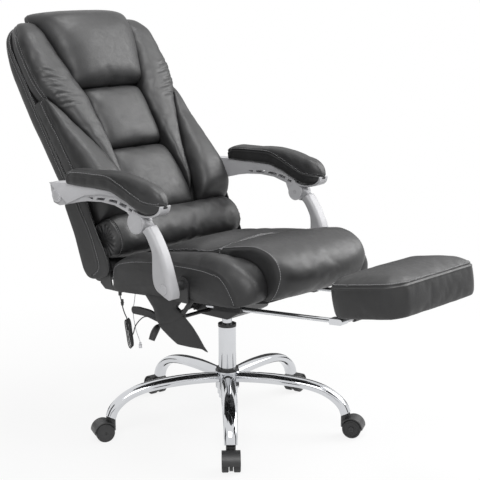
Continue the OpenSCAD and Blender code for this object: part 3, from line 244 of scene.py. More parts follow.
black_leather = leather("black_leather", grey(0.014), grey(0.022), 0.44)
# A rougher copy of the black leather whose darker colour is painted shade, for the back shell's
# sides and the pouch
side_leather = leather("side_leather", grey(0.013), grey(0.020), 0.5)
thread = paint("thread", grey(0.18), grey(0.28), 0.75, 0.5, 2600)
chrome = metal("chrome", (0.59, 0.60, 0.62), (0.66, 0.67, 0.69), 0.07, scale=9)
bare_steel = metal("bare_steel", grey(0.42), grey(0.56), 0.28)
silver_paint = paint("silver_paint", grey(0.40), grey(0.46), 0.36, 0.04, 1400)
black_plastic = paint("black_plastic", grey(0.016), grey(0.024), 0.42, 0.3, 1100)
black_steel = paint("black_steel", grey(0.020), grey(0.030), 0.38, 0.12, 700)
black_lead = paint("black_lead", grey(0.014), grey(0.020), 0.5, 0.1, 900)
pale_lead = paint("pale_lead", grey(0.55), grey(0.66), 0.45, 0.1, 900)
tread_rubber = paint("tread_rubber", grey(0.018), grey(0.030), 0.6, 0.35, 500)


def woven(name, dark, light):
    """Thin black lining cloth with a plain weave."""
    made, tree, bsdf = new_material(name)
    patches = textured(tree, "ShaderNodeTexNoise", 30, 4)
    link(shade_between(tree, patches, dark, light), bsdf.inputs["Base Color"])
    bsdf.inputs["Roughness"].default_value = 0.85
    across = textured(tree, "ShaderNodeTexWave", 420, bands_direction="X")
    along = textured(tree, "ShaderNodeTexWave", 420, bands_direction="Y")
    bumped(tree, bsdf, [(across, 0.3, 0.0003), (along, 0.3, 0.0003)])
    return made


lining = woven("lining", grey(0.010), grey(0.018))      # over both plywood boards
finish_of_slot = {"chrome": chrome, "silver_paint": silver_paint, "black_steel": black_steel,
                  "bare_steel": bare_steel, "black_plastic": black_plastic,
                  "black_leather": black_leather, "plywood": lining,
                  "black_lead": black_lead, "pale_lead": pale_lead}


def dress_frame():
    for part in frame["record"]["subparts"]:
        piece = nodes[part["node"]]
        made = finish_of_slot[part["material_slot"]]
        if part["node"].startswith("caster_wheels"):
            made = tread_rubber
        if part["node"] == "footrest_rods":
            made = chrome
        for i in range(len(piece.material_slots)):
            piece.material_slots[i].material = made
        for polygon in piece.data.polygons:
            polygon.use_smooth = True


dress_frame()


# MESH HELPERS

def xyz(x, y, z):
    """Points from their coordinates, each of them one number or a row."""
    return np.stack(np.broadcast_arrays(x, y, z), 1)


def tilted(origin, angle):
    """From the frame of a tilted part (across, behind, up) to the chair's."""
    c, s = math.cos(angle), math.sin(angle)

    def to_chair(points):
        x, y, z = np.asarray(points, float).T
        return xyz(x, origin.y + y * c + z * s, origin.z - y * s + z * c)
    return to_chair


in_back, in_foot = tilted(hinge, lean), tilted(foot_hinge, foot_tilt)


def smooth_keys(keys, steps, closed=False):
    """Smooth curve through keys of any width, with a number of steps between neighbours."""
    keys = np.asarray(keys, float)
    count = len(keys)
    out = []
    for i in range(count if closed else count - 1):
        if closed:
            a, b, c, d = (keys[(i + k) % count] for k in (-1, 0, 1, 2))
        else:
            a, b, c, d = (keys[min(max(i + k, 0), count - 1)] for k in (-1, 0, 1, 2))
        for k in range(steps):
            t = k / steps
            out.append(b + (c - a) * t / 2 + (2 * a - 5 * b + 4 * c - d) * t * t / 2
                       + (3 * b - a - 3 * c + d) * t ** 3 / 2)
    if not closed:
        out.append(keys[-1])
    return np.array(out)


def lengths_along(points):
    return np.concatenate([[0], np.cumsum(np.linalg.norm(np.diff(points, axis=0), axis=1))])


def at_lengths(at, gone, rows):
    """Rows at given lengths along a line, from its own rows and their lengths."""
    return np.stack([np.interp(at, gone, column) for column in rows.T], 1)


def even(points, count):
    """The same open line with count evenly spaced points."""
    points = np.asarray(points, float)
    gone = lengths_along(points)
    return at_lengths(np.linspace(0, gone[-1], count), gone, points)


def line_length(points):
    return float(np.linalg.norm(np.diff(np.asarray(points), axis=0), axis=1).sum())


def half_section(half, reach, square, count):
    t = np.linspace(0, math.pi, 240)
    points = np.stack([half * np.sign(np.cos(t)) * np.abs(np.cos(t)) ** square,
                       reach * np.abs(np.sin(t)) ** square], 1)
    return even(points, count + 1)[:-1]


def section(half, up, down, high, low, count):
    """Closed ring with its seam points at index 0 and count / 2."""
    upper = half_section(half, up, high, count // 2)
    lower = -half_section(half, down, low, count // 2)
    return np.concatenate([upper, lower])


def spaced_rows(table, length, step):
    """Rows of shares, smoothed and spaced evenly along their first column."""
    rows = smooth_keys(table, 16)
    gaps = np.maximum(np.abs(np.diff(rows[:, 0])) * length, 0.0006)
    gone = np.concatenate([[0], np.cumsum(gaps)])
    return at_lengths(np.linspace(0, gone[-1], max(int(gone[-1] / step), 12)), gone, rows)


cap_shares = (0.9, 0.7, 0.45, 0.2)


def loft(name, rings, made):
    """Closed grid over rings of equal length, each end drawn in to a point."""
    rings = [np.asarray(r, float) for r in rings]
    first, last = rings[0], rings[-1]
    full = ([first.mean(0) + (first - first.mean(0)) * s for s in reversed(cap_shares)] + rings
            + [last.mean(0) + (last - last.mean(0)) * s for s in cap_shares])
    around, along = len(first), len(full)
    points = np.concatenate(full + [first.mean(0)[None], last.mean(0)[None]])
    faces = []
    for i in range(along - 1):
        for j in range(around):
            k = (j + 1) % around
            faces.append((i * around + j, i * around + k, (i + 1) * around + k,
                          (i + 1) * around + j))
    tip, tail = along * around, along * around + 1
    for j in range(around):
        k = (j + 1) % around
        faces.append((tip, k, j))
        faces.append((tail, (along - 1) * around + j, (along - 1) * around + k))
    corner = points[[f[0] for f in faces]]
    cross = np.cross(*(points[[f[k] for f in faces]] - corner for k in (1, 2)))
    if (corner * cross).sum() < 0:
        faces = [f[::-1] for f in faces]
    return mesh_piece(name, points, faces, made)


def ring_points(count, ring, closed=False):
    """Indexes in a loft's mesh of a ring's points; a ring has count of them."""
    first = (len(cap_shares) + ring) * count
    points = np.arange(first, first + count)
    return np.append(points, first) if closed else points


def rounded(half_x, half_y, corner, count):
    t = np.linspace(0, math.pi / 2, 24)
    quarter = np.stack([half_x - corner + corner * np.cos(t),
                        half_y - corner + corner * np.sin(t)], 1)
    whole = np.concatenate([quarter, quarter[::-1] * [-1, 1], quarter * [-1, -1],
                            quarter[::-1] * [1, -1], quarter[:1]])
    return even(whole, count + 1)[:-1]


def bar(name, ends, low_x, high_x, corner, made, count=56):
    """Bar with round edges: each row gives both ends of its section in the side view."""
    rings = []
    for a, b in np.asarray(ends, float).reshape(-1, 2, 2) * mm:
        flat = rounded((high_x - low_x) / 2, np.linalg.norm(b - a) / 2,
                       min(corner, np.linalg.norm(b - a) / 2.1), count)
        along = (b - a) / np.linalg.norm(b - a)
        yz = (a + b) / 2 + flat[:, 1:] * along
        rings.append(xyz((low_x + high_x) / 2 + flat[:, 0], *yz.T))
    return loft(name, rings, made)


def turned(name, at, rows, made, count=48):
    """Round piece about a line along X through a point: rows of place and radius."""
    w = np.linspace(0, 2 * math.pi, count, endpoint=False)
    return loft(name, [xyz(x, at.y + r * np.cos(w), at.z + r * np.sin(w)) for x, r in rows], made)


def soft_corners(outline, corner):
    """Closed outline with straight edges and small round corners."""
    outline = np.array(outline, float)
    out = []
    for before, here, after in zip(np.roll(outline, 1, 0), outline, np.roll(outline, -1, 0)):
        sides = []
        for other in (before, after):
            far = np.linalg.norm(other - here)
            sides.append(here + (other - here) * min(corner / far, 0.4))
        for t in np.linspace(0, 1, 5):
            out.append((1 - t) ** 2 * sides[0] + 2 * t * (1 - t) * here + t * t * sides[1])
    out = np.array(out)
    return even(np.concatenate([out, out[:1]]), 161)[:-1]


def slab(name, outline, low_x, high_x, bow, made, corner=6, face_steps=1):
    """Soft plate from a side outline: rings drawn in towards its middle on both faces."""
    edge = soft_corners(outline, corner) * mm
    centre = edge.mean(0)
    thick = high_x - low_x
    rings = []
    last_inset = 0.35 if face_steps == 1 else 0.95
    spots = [(0.35, 0.0), (0.1, 0.0), (0.02, 0.12), (0, 0.5), (0.02, 0.88)]
    spots += [(inset, 1.0) for inset in np.linspace(0.1, last_inset, face_steps + 1)]
    for inset, depth in spots:
        yz = centre + (edge - centre) * (1 - inset)
        lift = bow * math.sin(math.pi * min(inset * 2, 1) / 2)
        x = low_x + thick * depth + (lift if depth > 0.5 else -lift)
        rings.append(xyz(x, *yz.T))
    piece = loft(name, rings, made)
    subdivided(piece)
    return piece


def mesh_piece(name, points, faces, made):
    data = bpy.data.meshes.new(name)
    data.from_pydata([tuple(p) for p in points], [], faces)
    data.update()
    for polygon in data.polygons:
        polygon.use_smooth = True
    data.materials.append(made)
    return new_object(name, data)


def read_points(data, what="co"):
    out = np.empty(len(data.vertices) * 3)
    data.vertices.foreach_get(what, out)
    return out.reshape(-1, 3)


def coordinates(piece):
    return read_points(piece.data)


def normals(piece):
    return read_points(piece.data, "normal")


def set_coordinates(piece, points):
    piece.data.vertices.foreach_set("co", points.ravel())
    piece.data.update()


def subdivided(piece):
    piece.modifiers.new("subdivide", "SUBSURF").levels = 1
    graph = bpy.context.evaluated_depsgraph_get()
    made = bpy.data.meshes.new_from_object(piece.evaluated_get(graph))
    piece.modifiers.clear()
    piece.data = made
    for polygon in made.polygons:
        polygon.use_smooth = True


def roughened(piece, size, amount, seed):
    """Small seeded unevenness, which starts the folds of a simulation."""
    points, outward = coordinates(piece), normals(piece)
    lift = np.array([noise.noise(Vector(p) / size + Vector((seed, 0, 0))) for p in points])
    set_coordinates(piece, points + outward * (lift * amount)[:, None])


def puffed(piece, held, reach, pressure, spare):
    """Cover simulated over its foam: pressure swells it between the held points."""
    roughened(piece, 0.03, 0.0008, len(piece.name))
    rest = coordinates(piece)
    group = piece.vertex_groups.new(name="held")
    group.add([int(i) for i in np.flatnonzero(held)], 1.0, "REPLACE")
    cloth = piece.modifiers.new("cloth", "CLOTH")
    settings = cloth.settings
    settings.quality = 5
    settings.mass = 0.3
    settings.tension_stiffness = settings.compression_stiffness = cloth_stiffness
    settings.shear_stiffness = cloth_stiffness / 2
    settings.bending_stiffness = 2
    settings.use_pressure = True
    settings.uniform_pressure_force = pressure
    settings.vertex_group_mass = "held"
    settings.shrink_min = -spare
    settings.effector_weights.gravity = 0
    cloth.collision_settings.use_collision = False
    cloth.point_cache.frame_start, cloth.point_cache.frame_end = 1, cloth_frames
    for i in range(1, cloth_frames + 1):
        scene.frame_set(i)
    graph = bpy.context.evaluated_depsgraph_get()
    step = read_points(piece.evaluated_get(graph).data) - rest
    piece.modifiers.clear()
    scene.frame_set(1)
    far = np.linalg.norm(step, axis=1)
    limit = cloth_share * reach * np.tanh(far / reach) / np.maximum(far, 1e-9)
    set_coordinates(piece, rest + step * limit[:, None])


def cushion(piece, held, seams, reach, pressure, spare):
    """Puffs a cover that is held along its seams too, and gives the seams' lines."""
    for seam in seams:
        held[seam] = True
    puffed(piece, held, reach, pressure, spare)
    lines = [coordinates(piece)[seam] for seam in seams]
    subdivided(piece)
    return lines


def near_line(points, line, reach):
    """Distance of each point to a line, with the share along it, for those within reach."""
    line = even(line, max(int(line_length(line) / 0.002), 2))
    low, high = line.min(0) - reach, line.max(0) + reach
    close = np.flatnonzero(((points > low) & (points < high)).all(1))
    if not len(close):
        return close, np.zeros(0), np.zeros(0)
    distance, share = np.empty(len(close)), np.empty(len(close))
    for i in range(0, len(close), 2000):
        part = points[close[i:i + 2000]]
        gaps = np.linalg.norm(part[:, None] - line[None], axis=2)
        nearest = gaps.argmin(1)
        distance[i:i + 2000] = gaps[np.arange(len(part)), nearest]
        share[i:i + 2000] = nearest / (len(line) - 1)
    keep = distance < reach
    return close[keep], distance[keep], share[keep]


def carved(piece, line, depth, width, lip=0.0, fade=0.0):
    """Draws the surface in along a line, with a lip on both sides; fade tapers its ends."""
    points, outward = coordinates(piece), normals(piece)
    index, gap, share = near_line(points, line, width * 3.2)
    if not len(index):
        return
    shape = -depth * np.exp(-(gap / width) ** 2)
    shape += lip * np.exp(-((gap - width * 1.7) / (width * 0.8)) ** 2)
    if fade:
        shape *= np.clip(np.minimum(share, 1 - share) / fade, 0, 1) ** 0.7
    points[index] += outward[index] * shape[:, None]
    set_coordinates(piece, points)


def surface_line(piece, line, aside=0.0, lift=0.0):
    """A line laid on the surface, moved aside along it."""
    line = even(line, max(int(line_length(line) / 0.003), 3))
    tree = BVHTree.FromPolygons([tuple(v.co) for v in piece.data.vertices],
                                [tuple(p.vertices) for p in piece.data.polygons])
    along = np.gradient(line, axis=0)
    out, outward = [], []
    for p, t in zip(line, along):
        place, normal, _, _ = tree.find_nearest(Vector(p))
        side = normal.cross(Vector(t).normalized())
        if aside:
            place, normal, _, _ = tree.find_nearest(place + side * aside)
        out.append(place + normal * lift)
        outward.append(normal)
    return np.array(out), np.array(outward)


class Threads:
    """All stitches of one piece, as one mesh of short bowed threads."""

    def __init__(self):
        self.points, self.faces = [], []

    def sew(self, piece, line, aside=0.0, radius=stitch_radius):
        places, outward = surface_line(piece, line, aside, radius * 0.4)
        gone = lengths_along(places)
        for i in range(int(line_length(places) / stitch_pitch)):
            start = (i + 0.1) * stitch_pitch
            at = start + stitch_length * np.array([0, 0.12, 0.5, 0.88, 1])
            spine = at_lengths(at, gone, places)
            normal = at_lengths(at[2:3], gone, outward)[0]
            spine += normal * (radius * np.array([-0.9, 0.2, 0.7, 0.2, -0.9]))[:, None]
            along = spine[-1] - spine[0]
            side = np.cross(normal, along)
            side /= max(np.linalg.norm(side), 1e-9)
            up = np.cross(along, side)
            up /= max(np.linalg.norm(up), 1e-9)
            base = len(self.points)
            for p, size in zip(spine, (0.5, 0.9, 1, 0.9, 0.5)):
                for k in range(5):
                    w = 2 * math.pi * k / 5
                    self.points.append(p + (side * math.cos(w) + up * math.sin(w)) * radius * size)
            for k in range(4):
                for j in range(5):
                    n = (j + 1) % 5
                    a = base + k * 5
                    self.faces.append((a + j, a + n, a + 5 + n, a + 5 + j))
            self.faces.append(tuple(base + j for j in (4, 3, 2, 1, 0)))
            self.faces.append(tuple(base + 20 + j for j in range(5)))

    def made(self, name, body):
        placed(mesh_piece(name, self.points, self.faces, thread), body, "black_leather")


def mirrored(piece, name):
    """The other side's copy of a piece."""
    points = coordinates(piece) * [-1, 1, 1]
    faces = [tuple(reversed(p.vertices)) for p in piece.data.polygons]
    return mesh_piece(name, points, faces, piece.data.materials[0])


def placed(piece, body, slot, *stands_for):
    """A piece that rides a body, in place of some nodes; the slot is not used."""
    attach(piece, body)
    if stands_for:
        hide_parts(*stands_for)


def soft(piece, body, stands_for):
    placed(piece, body, "black_leather", stands_for)


# CORDS, by the same points as the part's source

lead_x, lead_d = -245, 3
lead_top = np.array([lead_x, 158, 386.0])
plug_top, plug_end = (np.array([lead_x, *p]) for p in ((155, 376.0), (150, 360.0)))
hank_top = np.array([lead_x, 138, 322.0])
hank_loops, hank_height, hank_half, hank_rings = 3, 76, 11, 24
hank_tie_share, hank_lean_share = 0.45, 0.18


def hank_path():
    out = []
    for i in range(hank_loops * hank_rings + 1):
        turn, k = 2 * math.pi * i / hank_rings, i / hank_rings
        drop = (1 - math.cos(turn)) * (hank_height / 2 - lead_d * 0.3 * k)
        wide = (hank_half - lead_d * 0.3 * k) * math.sin(turn)
        out.append(hank_top + [lead_d * 1.35 * k,
                               wide * (1 - hank_tie_share * math.sin(turn) ** 2)
                               - drop * hank_lean_share, -drop])
    return np.array(out)


def cord_curve(name, points, diameter, made):
    data = bpy.data.curves.new(name, "CURVE")
    data.dimensions = "3D"
    data.bevel_depth = diameter / 2
    data.bevel_resolution = 4
    data.use_fill_caps = True
    spline = data.splines.new("POLY")
    spline.points.add(len(points) - 1)
    for i, p in enumerate(points):
        spline.points[i].co = (*p, 1)
    data.materials.append(made)
    return new_object(name, data)


def make_cords():
    hank = hank_path()
    start = (hank[1] - hank[0]) / np.linalg.norm(hank[1] - hank[0])
    last = hank[-1]
    end = (hank[-1] - hank[-2]) / np.linalg.norm(hank[-1] - hank[-2])
    down = smooth_keys([lead_top, [lead_x, 157, 381], plug_top, plug_end, [lead_x, 147, 350],
                        [lead_x, 141, 338], [lead_x, 134, 328], hank_top - start * lead_d * 1.2,
                        hank_top], 5)
    away = smooth_keys([last, last + end * lead_d * 1.2, [-232, 148, 312], [-234, 142, 296],
                        [-238, 128, 280], [-242, 114, 288], [-246, 98, 316], [-251, 62, 345],
                        [-252, 24, 350]], 6)
    route = np.concatenate([down[:-1], hank[:-1], away]) * mm
    massage = cord_curve("massage_lead", route, lead_d * mm, black_lead)
    placed(massage, "seat", "black_lead", "lead_upper", "lead_lower", "lead_hank", "lead_return")
    power_x, bar_low = -196, 398.1
    thin = smooth_keys([[power_x, 150, bar_low - 6], [power_x, 156, 360], [power_x, 162, 330],
                        [power_x, 153, 285], [power_x, 136, 250]], 6) * mm
    power = cord_curve("power_lead_cord", thin, 2 * mm, pale_lead)
    placed(power, "seat", "pale_lead", "power_lead")


make_cords()


# BASE LEGS

# Distance from the column, height of the crown, half width and depth of a leg, in millimetres
leg_rows = [[27, 152, 16.5, 27], [60, 154, 18, 27], [106, 155, 20, 26.5], [150, 154, 21, 26],
            [205, 149.5, 21, 25], [250, 141, 20, 24.5], [285, 128, 19, 24.5], [313, 110, 18, 25],
            [333, 89, 17.5, 26], [343, 67.5, 17, 27]]
leg_turn = -64.0            # of the first leg from X, in degrees


def base_leg():
    """Rings of one leg along X, square to its back's line."""
    fine = smooth_keys(leg_rows, 10) * mm
    run = np.hypot(*np.gradient(fine[:, :2], axis=0).T)
    rings = []
    for (far, top, half, deep), fall in zip(fine, np.gradient(fine[:, 1]) / run):
        turn = math.asin(max(min(float(fall), 1), -1))
        out, up = -math.sin(turn), math.cos(turn)
        flat = section(half, deep * 0.5, deep * 0.5, 0.9, 0.62, 64)
        drop = deep * 0.5 - flat[:, 1]
        rings.append(xyz(far - out * drop, flat[:, 0], top - up * drop))
    return rings


def make_legs():
    rings = base_leg()
    for i in range(5):
        w = math.radians(leg_turn + 72 * i)
        spin = np.array([[math.cos(w), -math.sin(w), 0], [math.sin(w), math.cos(w), 0], [0, 0, 1]])
        piece = loft(f"leg_{i + 1}", [r @ spin.T for r in rings], chrome)
        placed(piece, "base", "chrome", *(["base_legs"] if i == 0 else []))


make_legs()


# SEAT

# Side profiles of the middle pad, closed, from the low rear corner: at its side seam and in
# the middle of its width, in millimetres from the column and the floor
pad_seam_keys = [[168, 434], [169, 448], [164, 462], [140, 478], [90, 494], [39, 508],
                 [-24, 517], [-66, 519], [-90, 524], [-134, 538], [-180, 548], [-222, 555],
                 [-258, 557], [-288, 550], [-309, 537], [-323, 518], [-328, 496], [-322, 472],
                 [-311, 451], [-298, 436], [-280, 429], [-220, 433], [-120, 433], [20, 433],
                 [110, 433]]
pad_middle_keys = [[168, 434], [170, 450], [166, 467], [132, 495], [80, 515], [30, 532],
                   [-20, 537], [-60, 531], [-88, 531], [-134, 543], [-180, 552], [-222, 559],
                   [-262, 560], [-300, 551], [-329, 534], [-348, 510], [-354, 482], [-347, 457],
                   [-330, 439], [-306, 430], [-280, 429], [-220, 433], [-120, 433], [20, 433],
                   [110, 433]]
pad_half = 0.172
pad_rear_share = 0.905


def seat_middle():
    steps = 6
    seam = smooth_keys(pad_seam_keys, steps, True) * mm
    middle = smooth_keys(pad_middle_keys, steps, True) * mm
    count = len(seam)
    across = np.linspace(-1, 1, 54)
    across = np.sign(across) * (1 - (1 - np.abs(across)) ** 1.25)
    rings = []
    for s in across:
        crown = (1 - abs(s) ** 3.6) ** 0.6
        yz = seam + (middle - seam) * crown
        # the pad is narrower behind the roll, between the bolsters
        narrow = np.interp(yz[:, 0], [-0.19, -0.10], [1, pad_rear_share])
        rings.append(xyz(s * pad_half * narrow, *yz.T))
    piece = loft("seat_pad", rings, black_leather)
    points = coordinates(piece)
    held = (points[:, 2] < board_top + 0.004) | (points[:, 1] > seat_rear - 0.004)
    seams = [ring_points(count, i) for i in (0, len(rings) - 1)]
    return piece, cushion(piece, held, seams, 0.006, 3.0, 0.006)


def top_part(edge, low_z, after_y):
    """The open stretch of a closed seam above a height, from rear to front."""
    keep = [i for i in range(len(edge)) if edge[i][2] > low_z or edge[i][1] < after_y]
    return edge[keep]


seat_pad, pad_edges = seat_middle()
seat_threads = Threads()
roll_crease = np.array([[-160, -134], [-130, -120], [-90, -104], [-48, -90], [10, -78], [86, -73],
                        [130, -82], [160, -96]]) * mm
roll_crease = smooth_keys([[*p, board_top + 0.096] for p in roll_crease], 8)
crease_line, _ = surface_line(seat_pad, roll_crease)
carved(seat_pad, crease_line, 0.0055, 0.0055, 0.0022, 0.06)
seat_threads.sew(seat_pad, crease_line, 0.0065)
for edge in pad_edges:
    line = top_part(edge, board_top + 0.012, -0.29)
    carved(seat_pad, line, 0.0022, 0.0028, 0.0012)
    seat_threads.sew(seat_pad, line, 0.0055 if edge[0][0] < 0 else -0.0055)
soft(seat_pad, "seat", "seat_middle_pad")

# Side profiles of a bolster, closed, from the low rear corner: along its outer seam, along its
# crown and along the middle pad
gusset_keys = [[166, 401], [172, 420], [172, 446], [162, 469], [128, 485], [70, 496], [0, 503],
               [-67, 506], [-127, 507], [-177, 504], [-213, 495], [-233, 480], [-250, 458],
               [-262, 437], [-262, 424], [-214, 421], [-115, 415], [0, 408], [100, 402]]
crown_keys = [[166, 403], [174, 424], [175, 450], [162, 480], [126, 497], [66, 509], [0, 518],
              [-67, 526], [-127, 533], [-180, 535], [-225, 527], [-262, 510], [-290, 488],
              [-302, 460], [-292, 434], [-250, 425], [-150, 419], [0, 408], [100, 403]]
inner_keys = [[166, 408], [170, 424], [168, 446], [156, 466], [122, 480], [62, 494], [0, 508],
              [-67, 518], [-127, 524], [-180, 527], [-226, 526], [-262, 517], [-284, 495],
              [-294, 465], [-290, 438], [-250, 428], [-150, 421], [0, 410], [100, 406]]


def seat_side():
    steps = 7
    outer, crown, inner = (smooth_keys(k, steps, True) * mm
                           for k in (gusset_keys, crown_keys, inner_keys))
    count = len(outer)
    spots = np.linspace(0, 1, 22)
    rings = []
    for s in spots:
        # from the inner face at 0, over the crown at a half, to the gusset's seam at 1
        if s < 0.5:
            w = 1 - (1 - 2 * s) ** 2.2
            yz = inner + (crown - inner) * w
        else:
            w = (2 * s - 1) ** 2.4
            yz = crown + (outer - crown) * w
        low_x = np.interp(yz[:, 0], [-0.19, -0.10], [pad_half + 0.001, pad_half * pad_rear_share])
        rings.append(xyz(low_x + (seat_half - 0.002 - low_x) * s, *yz.T))
    piece = loft("seat_bolster_l", rings, black_leather)
    points = coordinates(piece)
    held = (points[:, 2] < board_low + 0.006) | (points[:, 0] < points[:, 0].min() + 0.02)
    seam = ring_points(count, len(rings) - 1)
    return piece, cushion(piece, held, [seam], 0.007, 3.5, 0.009)[0]


bolster, gusset_seam = seat_side()
gusset_line = top_part(gusset_seam, board_low + 0.011, -0.31)
carved(bolster, gusset_line, 0.0020, 0.0026, 0.0010)
for sign, name in left_right:
    piece = bolster if sign == 1 else mirrored(bolster, "seat_bolster_r")
    seat_threads.sew(piece, gusset_line * [sign, 1, 1], 0.0050 * sign)
    soft(piece, "seat", f"seat_bolster_{name}")
seat_threads.made("seat_stitches", "seat")


# BACKREST

back_height = 0.716
board_front, pad_base = 0.016, 0.028
cover_wrap = 0.0108         # how far the covers reach behind the board's front face


def back_rings(table, to_ring, count):
    return [in_back(to_ring(row, count)) for row in spaced_rows(table, back_height, soft_step)]


def ring_at(up, across, half, seam, rear, front, rear_share, front_share, count):
    flat = section(half, rear, front, rear_share, front_share, count)
    return xyz(across + flat[:, 0], seam + flat[:, 1], up)


def seam_points(count, rings):
    """Indexes along both seams of a loft: each ring's first point and its opposite."""
    rows = (np.arange(rings) + len(cap_shares)) * count
    return rows, rows + count // 2


def hold_rear(piece, depth):
    """Points that lie on the board, behind a depth of the backrest's frame."""
    points = coordinates(piece)
    c, s = math.cos(lean), math.sin(lean)
    behind = (points[:, 1] - hinge.y) * c - (points[:, 2] - hinge.z) * s
    return behind > depth


def back_pad(name, table, to_ring, count, reach, pressure, spare=0.006, depth=0.012,
             made=black_leather):
    """A cushion of the backrest and the lines of its two seams."""
    rings = back_rings(table, to_ring, count)
    piece = loft(name, rings, made)
    return piece, cushion(piece, hold_rear(piece, depth), seam_points(count, len(rings)), reach,
                          pressure, spare)


# Rows from low to high, as shares of the back's height and of each part's own sizes
boxing_table = [[-0.076, 0.95, 0.45, 0.42], [-0.07, 0.98, 0.72, 0.38], [-0.056, 1, 0.92, 0.34],
                [-0.03, 1, 1.06, 0.2], [0.014, 1, 1.2, 0],
                [0.11, 1, 0.98, 0], [0.23, 1, 0.83, 0], [0.374, 1, 0.95, 0], [0.5, 1, 1, 0],
                [0.634, 1, 1.07, 0], [0.8, 1, 0.97, 0], [0.88, 1, 0.66, 0],
                [0.937, 0.968, 0.36, 0], [0.985, 0.84, 0.14, 0], [1, 0.7, 0.06, 0]]
boxing_deep = 0.060


def boxing_ring(row, count):
    up, half, deep, fall = row
    return ring_at(back_height * up, 0, back_half * half, pad_base + boxing_deep * fall,
                   max(boxing_deep * deep, 0.002), 0.0005, 0.4, 0.4, count)


pillow_table = [[0.672, 0.93, 0.22, 0.16], [0.68, 0.98, 0.24, 0.3], [0.695, 1.01, 0.25, 0.44],
                [0.72, 1.03, 0.25, 0.53], [0.755, 1.07, 0.25, 0.59], [0.8, 1.12, 0.24, 0.67],
                [0.838, 1.17, 0.22, 0.74], [0.894, 1.22, 0.18, 0.8], [0.95, 1.26, 0.13, 0.78],
                [0.976, 1.27, 0.1, 0.68], [1.006, 1.26, 0.04, 0.45], [1.024, 1.22, 0, 0.25],
                [1.032, 1.14, 0, 0.1]]
pillow_half, pillow_thick = 0.130, 0.104


def pillow_ring(row, count):
    up, half, seam, front = row
    rear = max(pillow_thick * seam, 0) + cover_wrap
    return ring_at(back_height * up, 0, pillow_half * half, board_front - pillow_thick * seam,
                   rear, pillow_thick * front, 0.22, 0.62, count)


middle_table = [[0.403, 0.93, 0.3, 0.2], [0.413, 0.98, 0.4, 0.38], [0.46, 1, 0.44, 0.52],
                [0.54, 1, 0.44, 0.56], [0.61, 1, 0.43, 0.54], [0.648, 0.985, 0.4, 0.42],
                [0.668, 0.93, 0.3, 0.2]]
lower_table = [[0.113, 1.02, 0.34, 0.2], [0.13, 1.09, 0.5, 0.36], [0.195, 1.11, 0.54, 0.46],
               [0.28, 1.08, 0.53, 0.47], [0.35, 1.02, 0.5, 0.44], [0.385, 0.98, 0.42, 0.32],
               [0.399, 0.93, 0.3, 0.16]]
mid_half, mid_thick = 0.106, 0.066


def centre_ring(row, count):
    up, half, seam, front = row
    return ring_at(back_height * up, 0, mid_half * half, board_front - mid_thick * seam,
                   mid_thick * seam, mid_thick * front, 0.2, 0.62, count)


side_table = [[0.16, 0.485, 0.51, 0.3, 0.1], [0.19, 0.477, 0.52, 0.45, 0.25],
              [0.237, 0.472, 0.54, 0.56, 0.32], [0.342, 0.446, 0.6, 0.62, 0.34],
              [0.43, 0.43, 0.68, 0.57, 0.4], [0.5, 0.43, 0.76, 0.53, 0.44],
              [0.56, 0.43, 0.83, 0.5, 0.46], [0.61, 0.43, 0.9, 0.49, 0.47],
              [0.65, 0.45, 0.95, 0.48, 0.47], [0.7, 0.505, 0.985, 0.46, 0.48],
              [0.735, 0.525, 0.995, 0.44, 0.5], [0.763, 0.545, 0.995, 0.42, 0.5],
              [0.838, 0.59, 0.99, 0.4, 0.47], [0.894, 0.62, 0.975, 0.4, 0.43],
              [0.925, 0.635, 0.945, 0.36, 0.39], [0.96, 0.645, 0.895, 0.26, 0.3],
              [0.98, 0.65, 0.84, 0.12, 0.22], [0.99, 0.66, 0.79, 0.04, 0.12]]
side_thick = 0.072
wing_table = [[0.113, 0.52, 0.97, 0.22, 0.3], [0.13, 0.505, 0.99, 0.28, 0.46],
              [0.165, 0.515, 1, 0.34, 0.6], [0.21, 0.535, 1, 0.37, 0.62],
              [0.264, 0.56, 1, 0.37, 0.62], [0.342, 0.61, 1, 0.34, 0.54],
              [0.43, 0.69, 1, 0.31, 0.42], [0.5, 0.77, 1, 0.28, 0.32],
              [0.56, 0.84, 1, 0.26, 0.26], [0.61, 0.91, 1, 0.24, 0.2],
              [0.645, 0.955, 0.995, 0.22, 0.12]]
wing_thick = 0.108


def flank_ring(thick, front_share):
    def ring(row, count):
        up, inner, outer, seam, front = row
        return ring_at(back_height * up, back_half * (inner + outer) / 2,
                       back_half * (outer - inner) / 2, board_front - thick * seam,
                       thick * seam + cover_wrap, thick * front, 0.25, front_share, count)
    return ring


back_threads = Threads()
boxing, boxing_lines = back_pad("back_shell", boxing_table, boxing_ring, 96, 0.003, 3.0,
                                spare=0.0, depth=1, made=side_leather)
for line in boxing_lines:
    carved(boxing, line, 0.0016, 0.0024, 0.0008)
    # no stitches beside the hinge's ears, where the shell's flank hides them
    above = (line[:, 1] - hinge.y) * math.sin(lean) + (line[:, 2] - hinge.z) * math.cos(lean)
    for aside in (0.006, -0.006):
        back_threads.sew(boxing, line[above > 0.1], aside)
soft(boxing, "back", "back_boxing")

pillow, pillow_lines = back_pad("head_cushion", pillow_table, pillow_ring, 72, 0.008, 4.0)
for side, line in zip((1, -1), pillow_lines):
    carved(pillow, line, 0.0015, 0.0022, 0.0008)
    back_threads.sew(pillow, line[4:-4], 0.0065 * side)
soft(pillow, "back", "head_pillow")

for name, table, node in (("back_middle_cushion", middle_table, "back_middle_pad"),
                          ("back_lower_cushion", lower_table, "back_lower_pad")):
    piece, _ = back_pad(name, table, centre_ring, 64, 0.007, 4.0)
    soft(piece, "back", node)

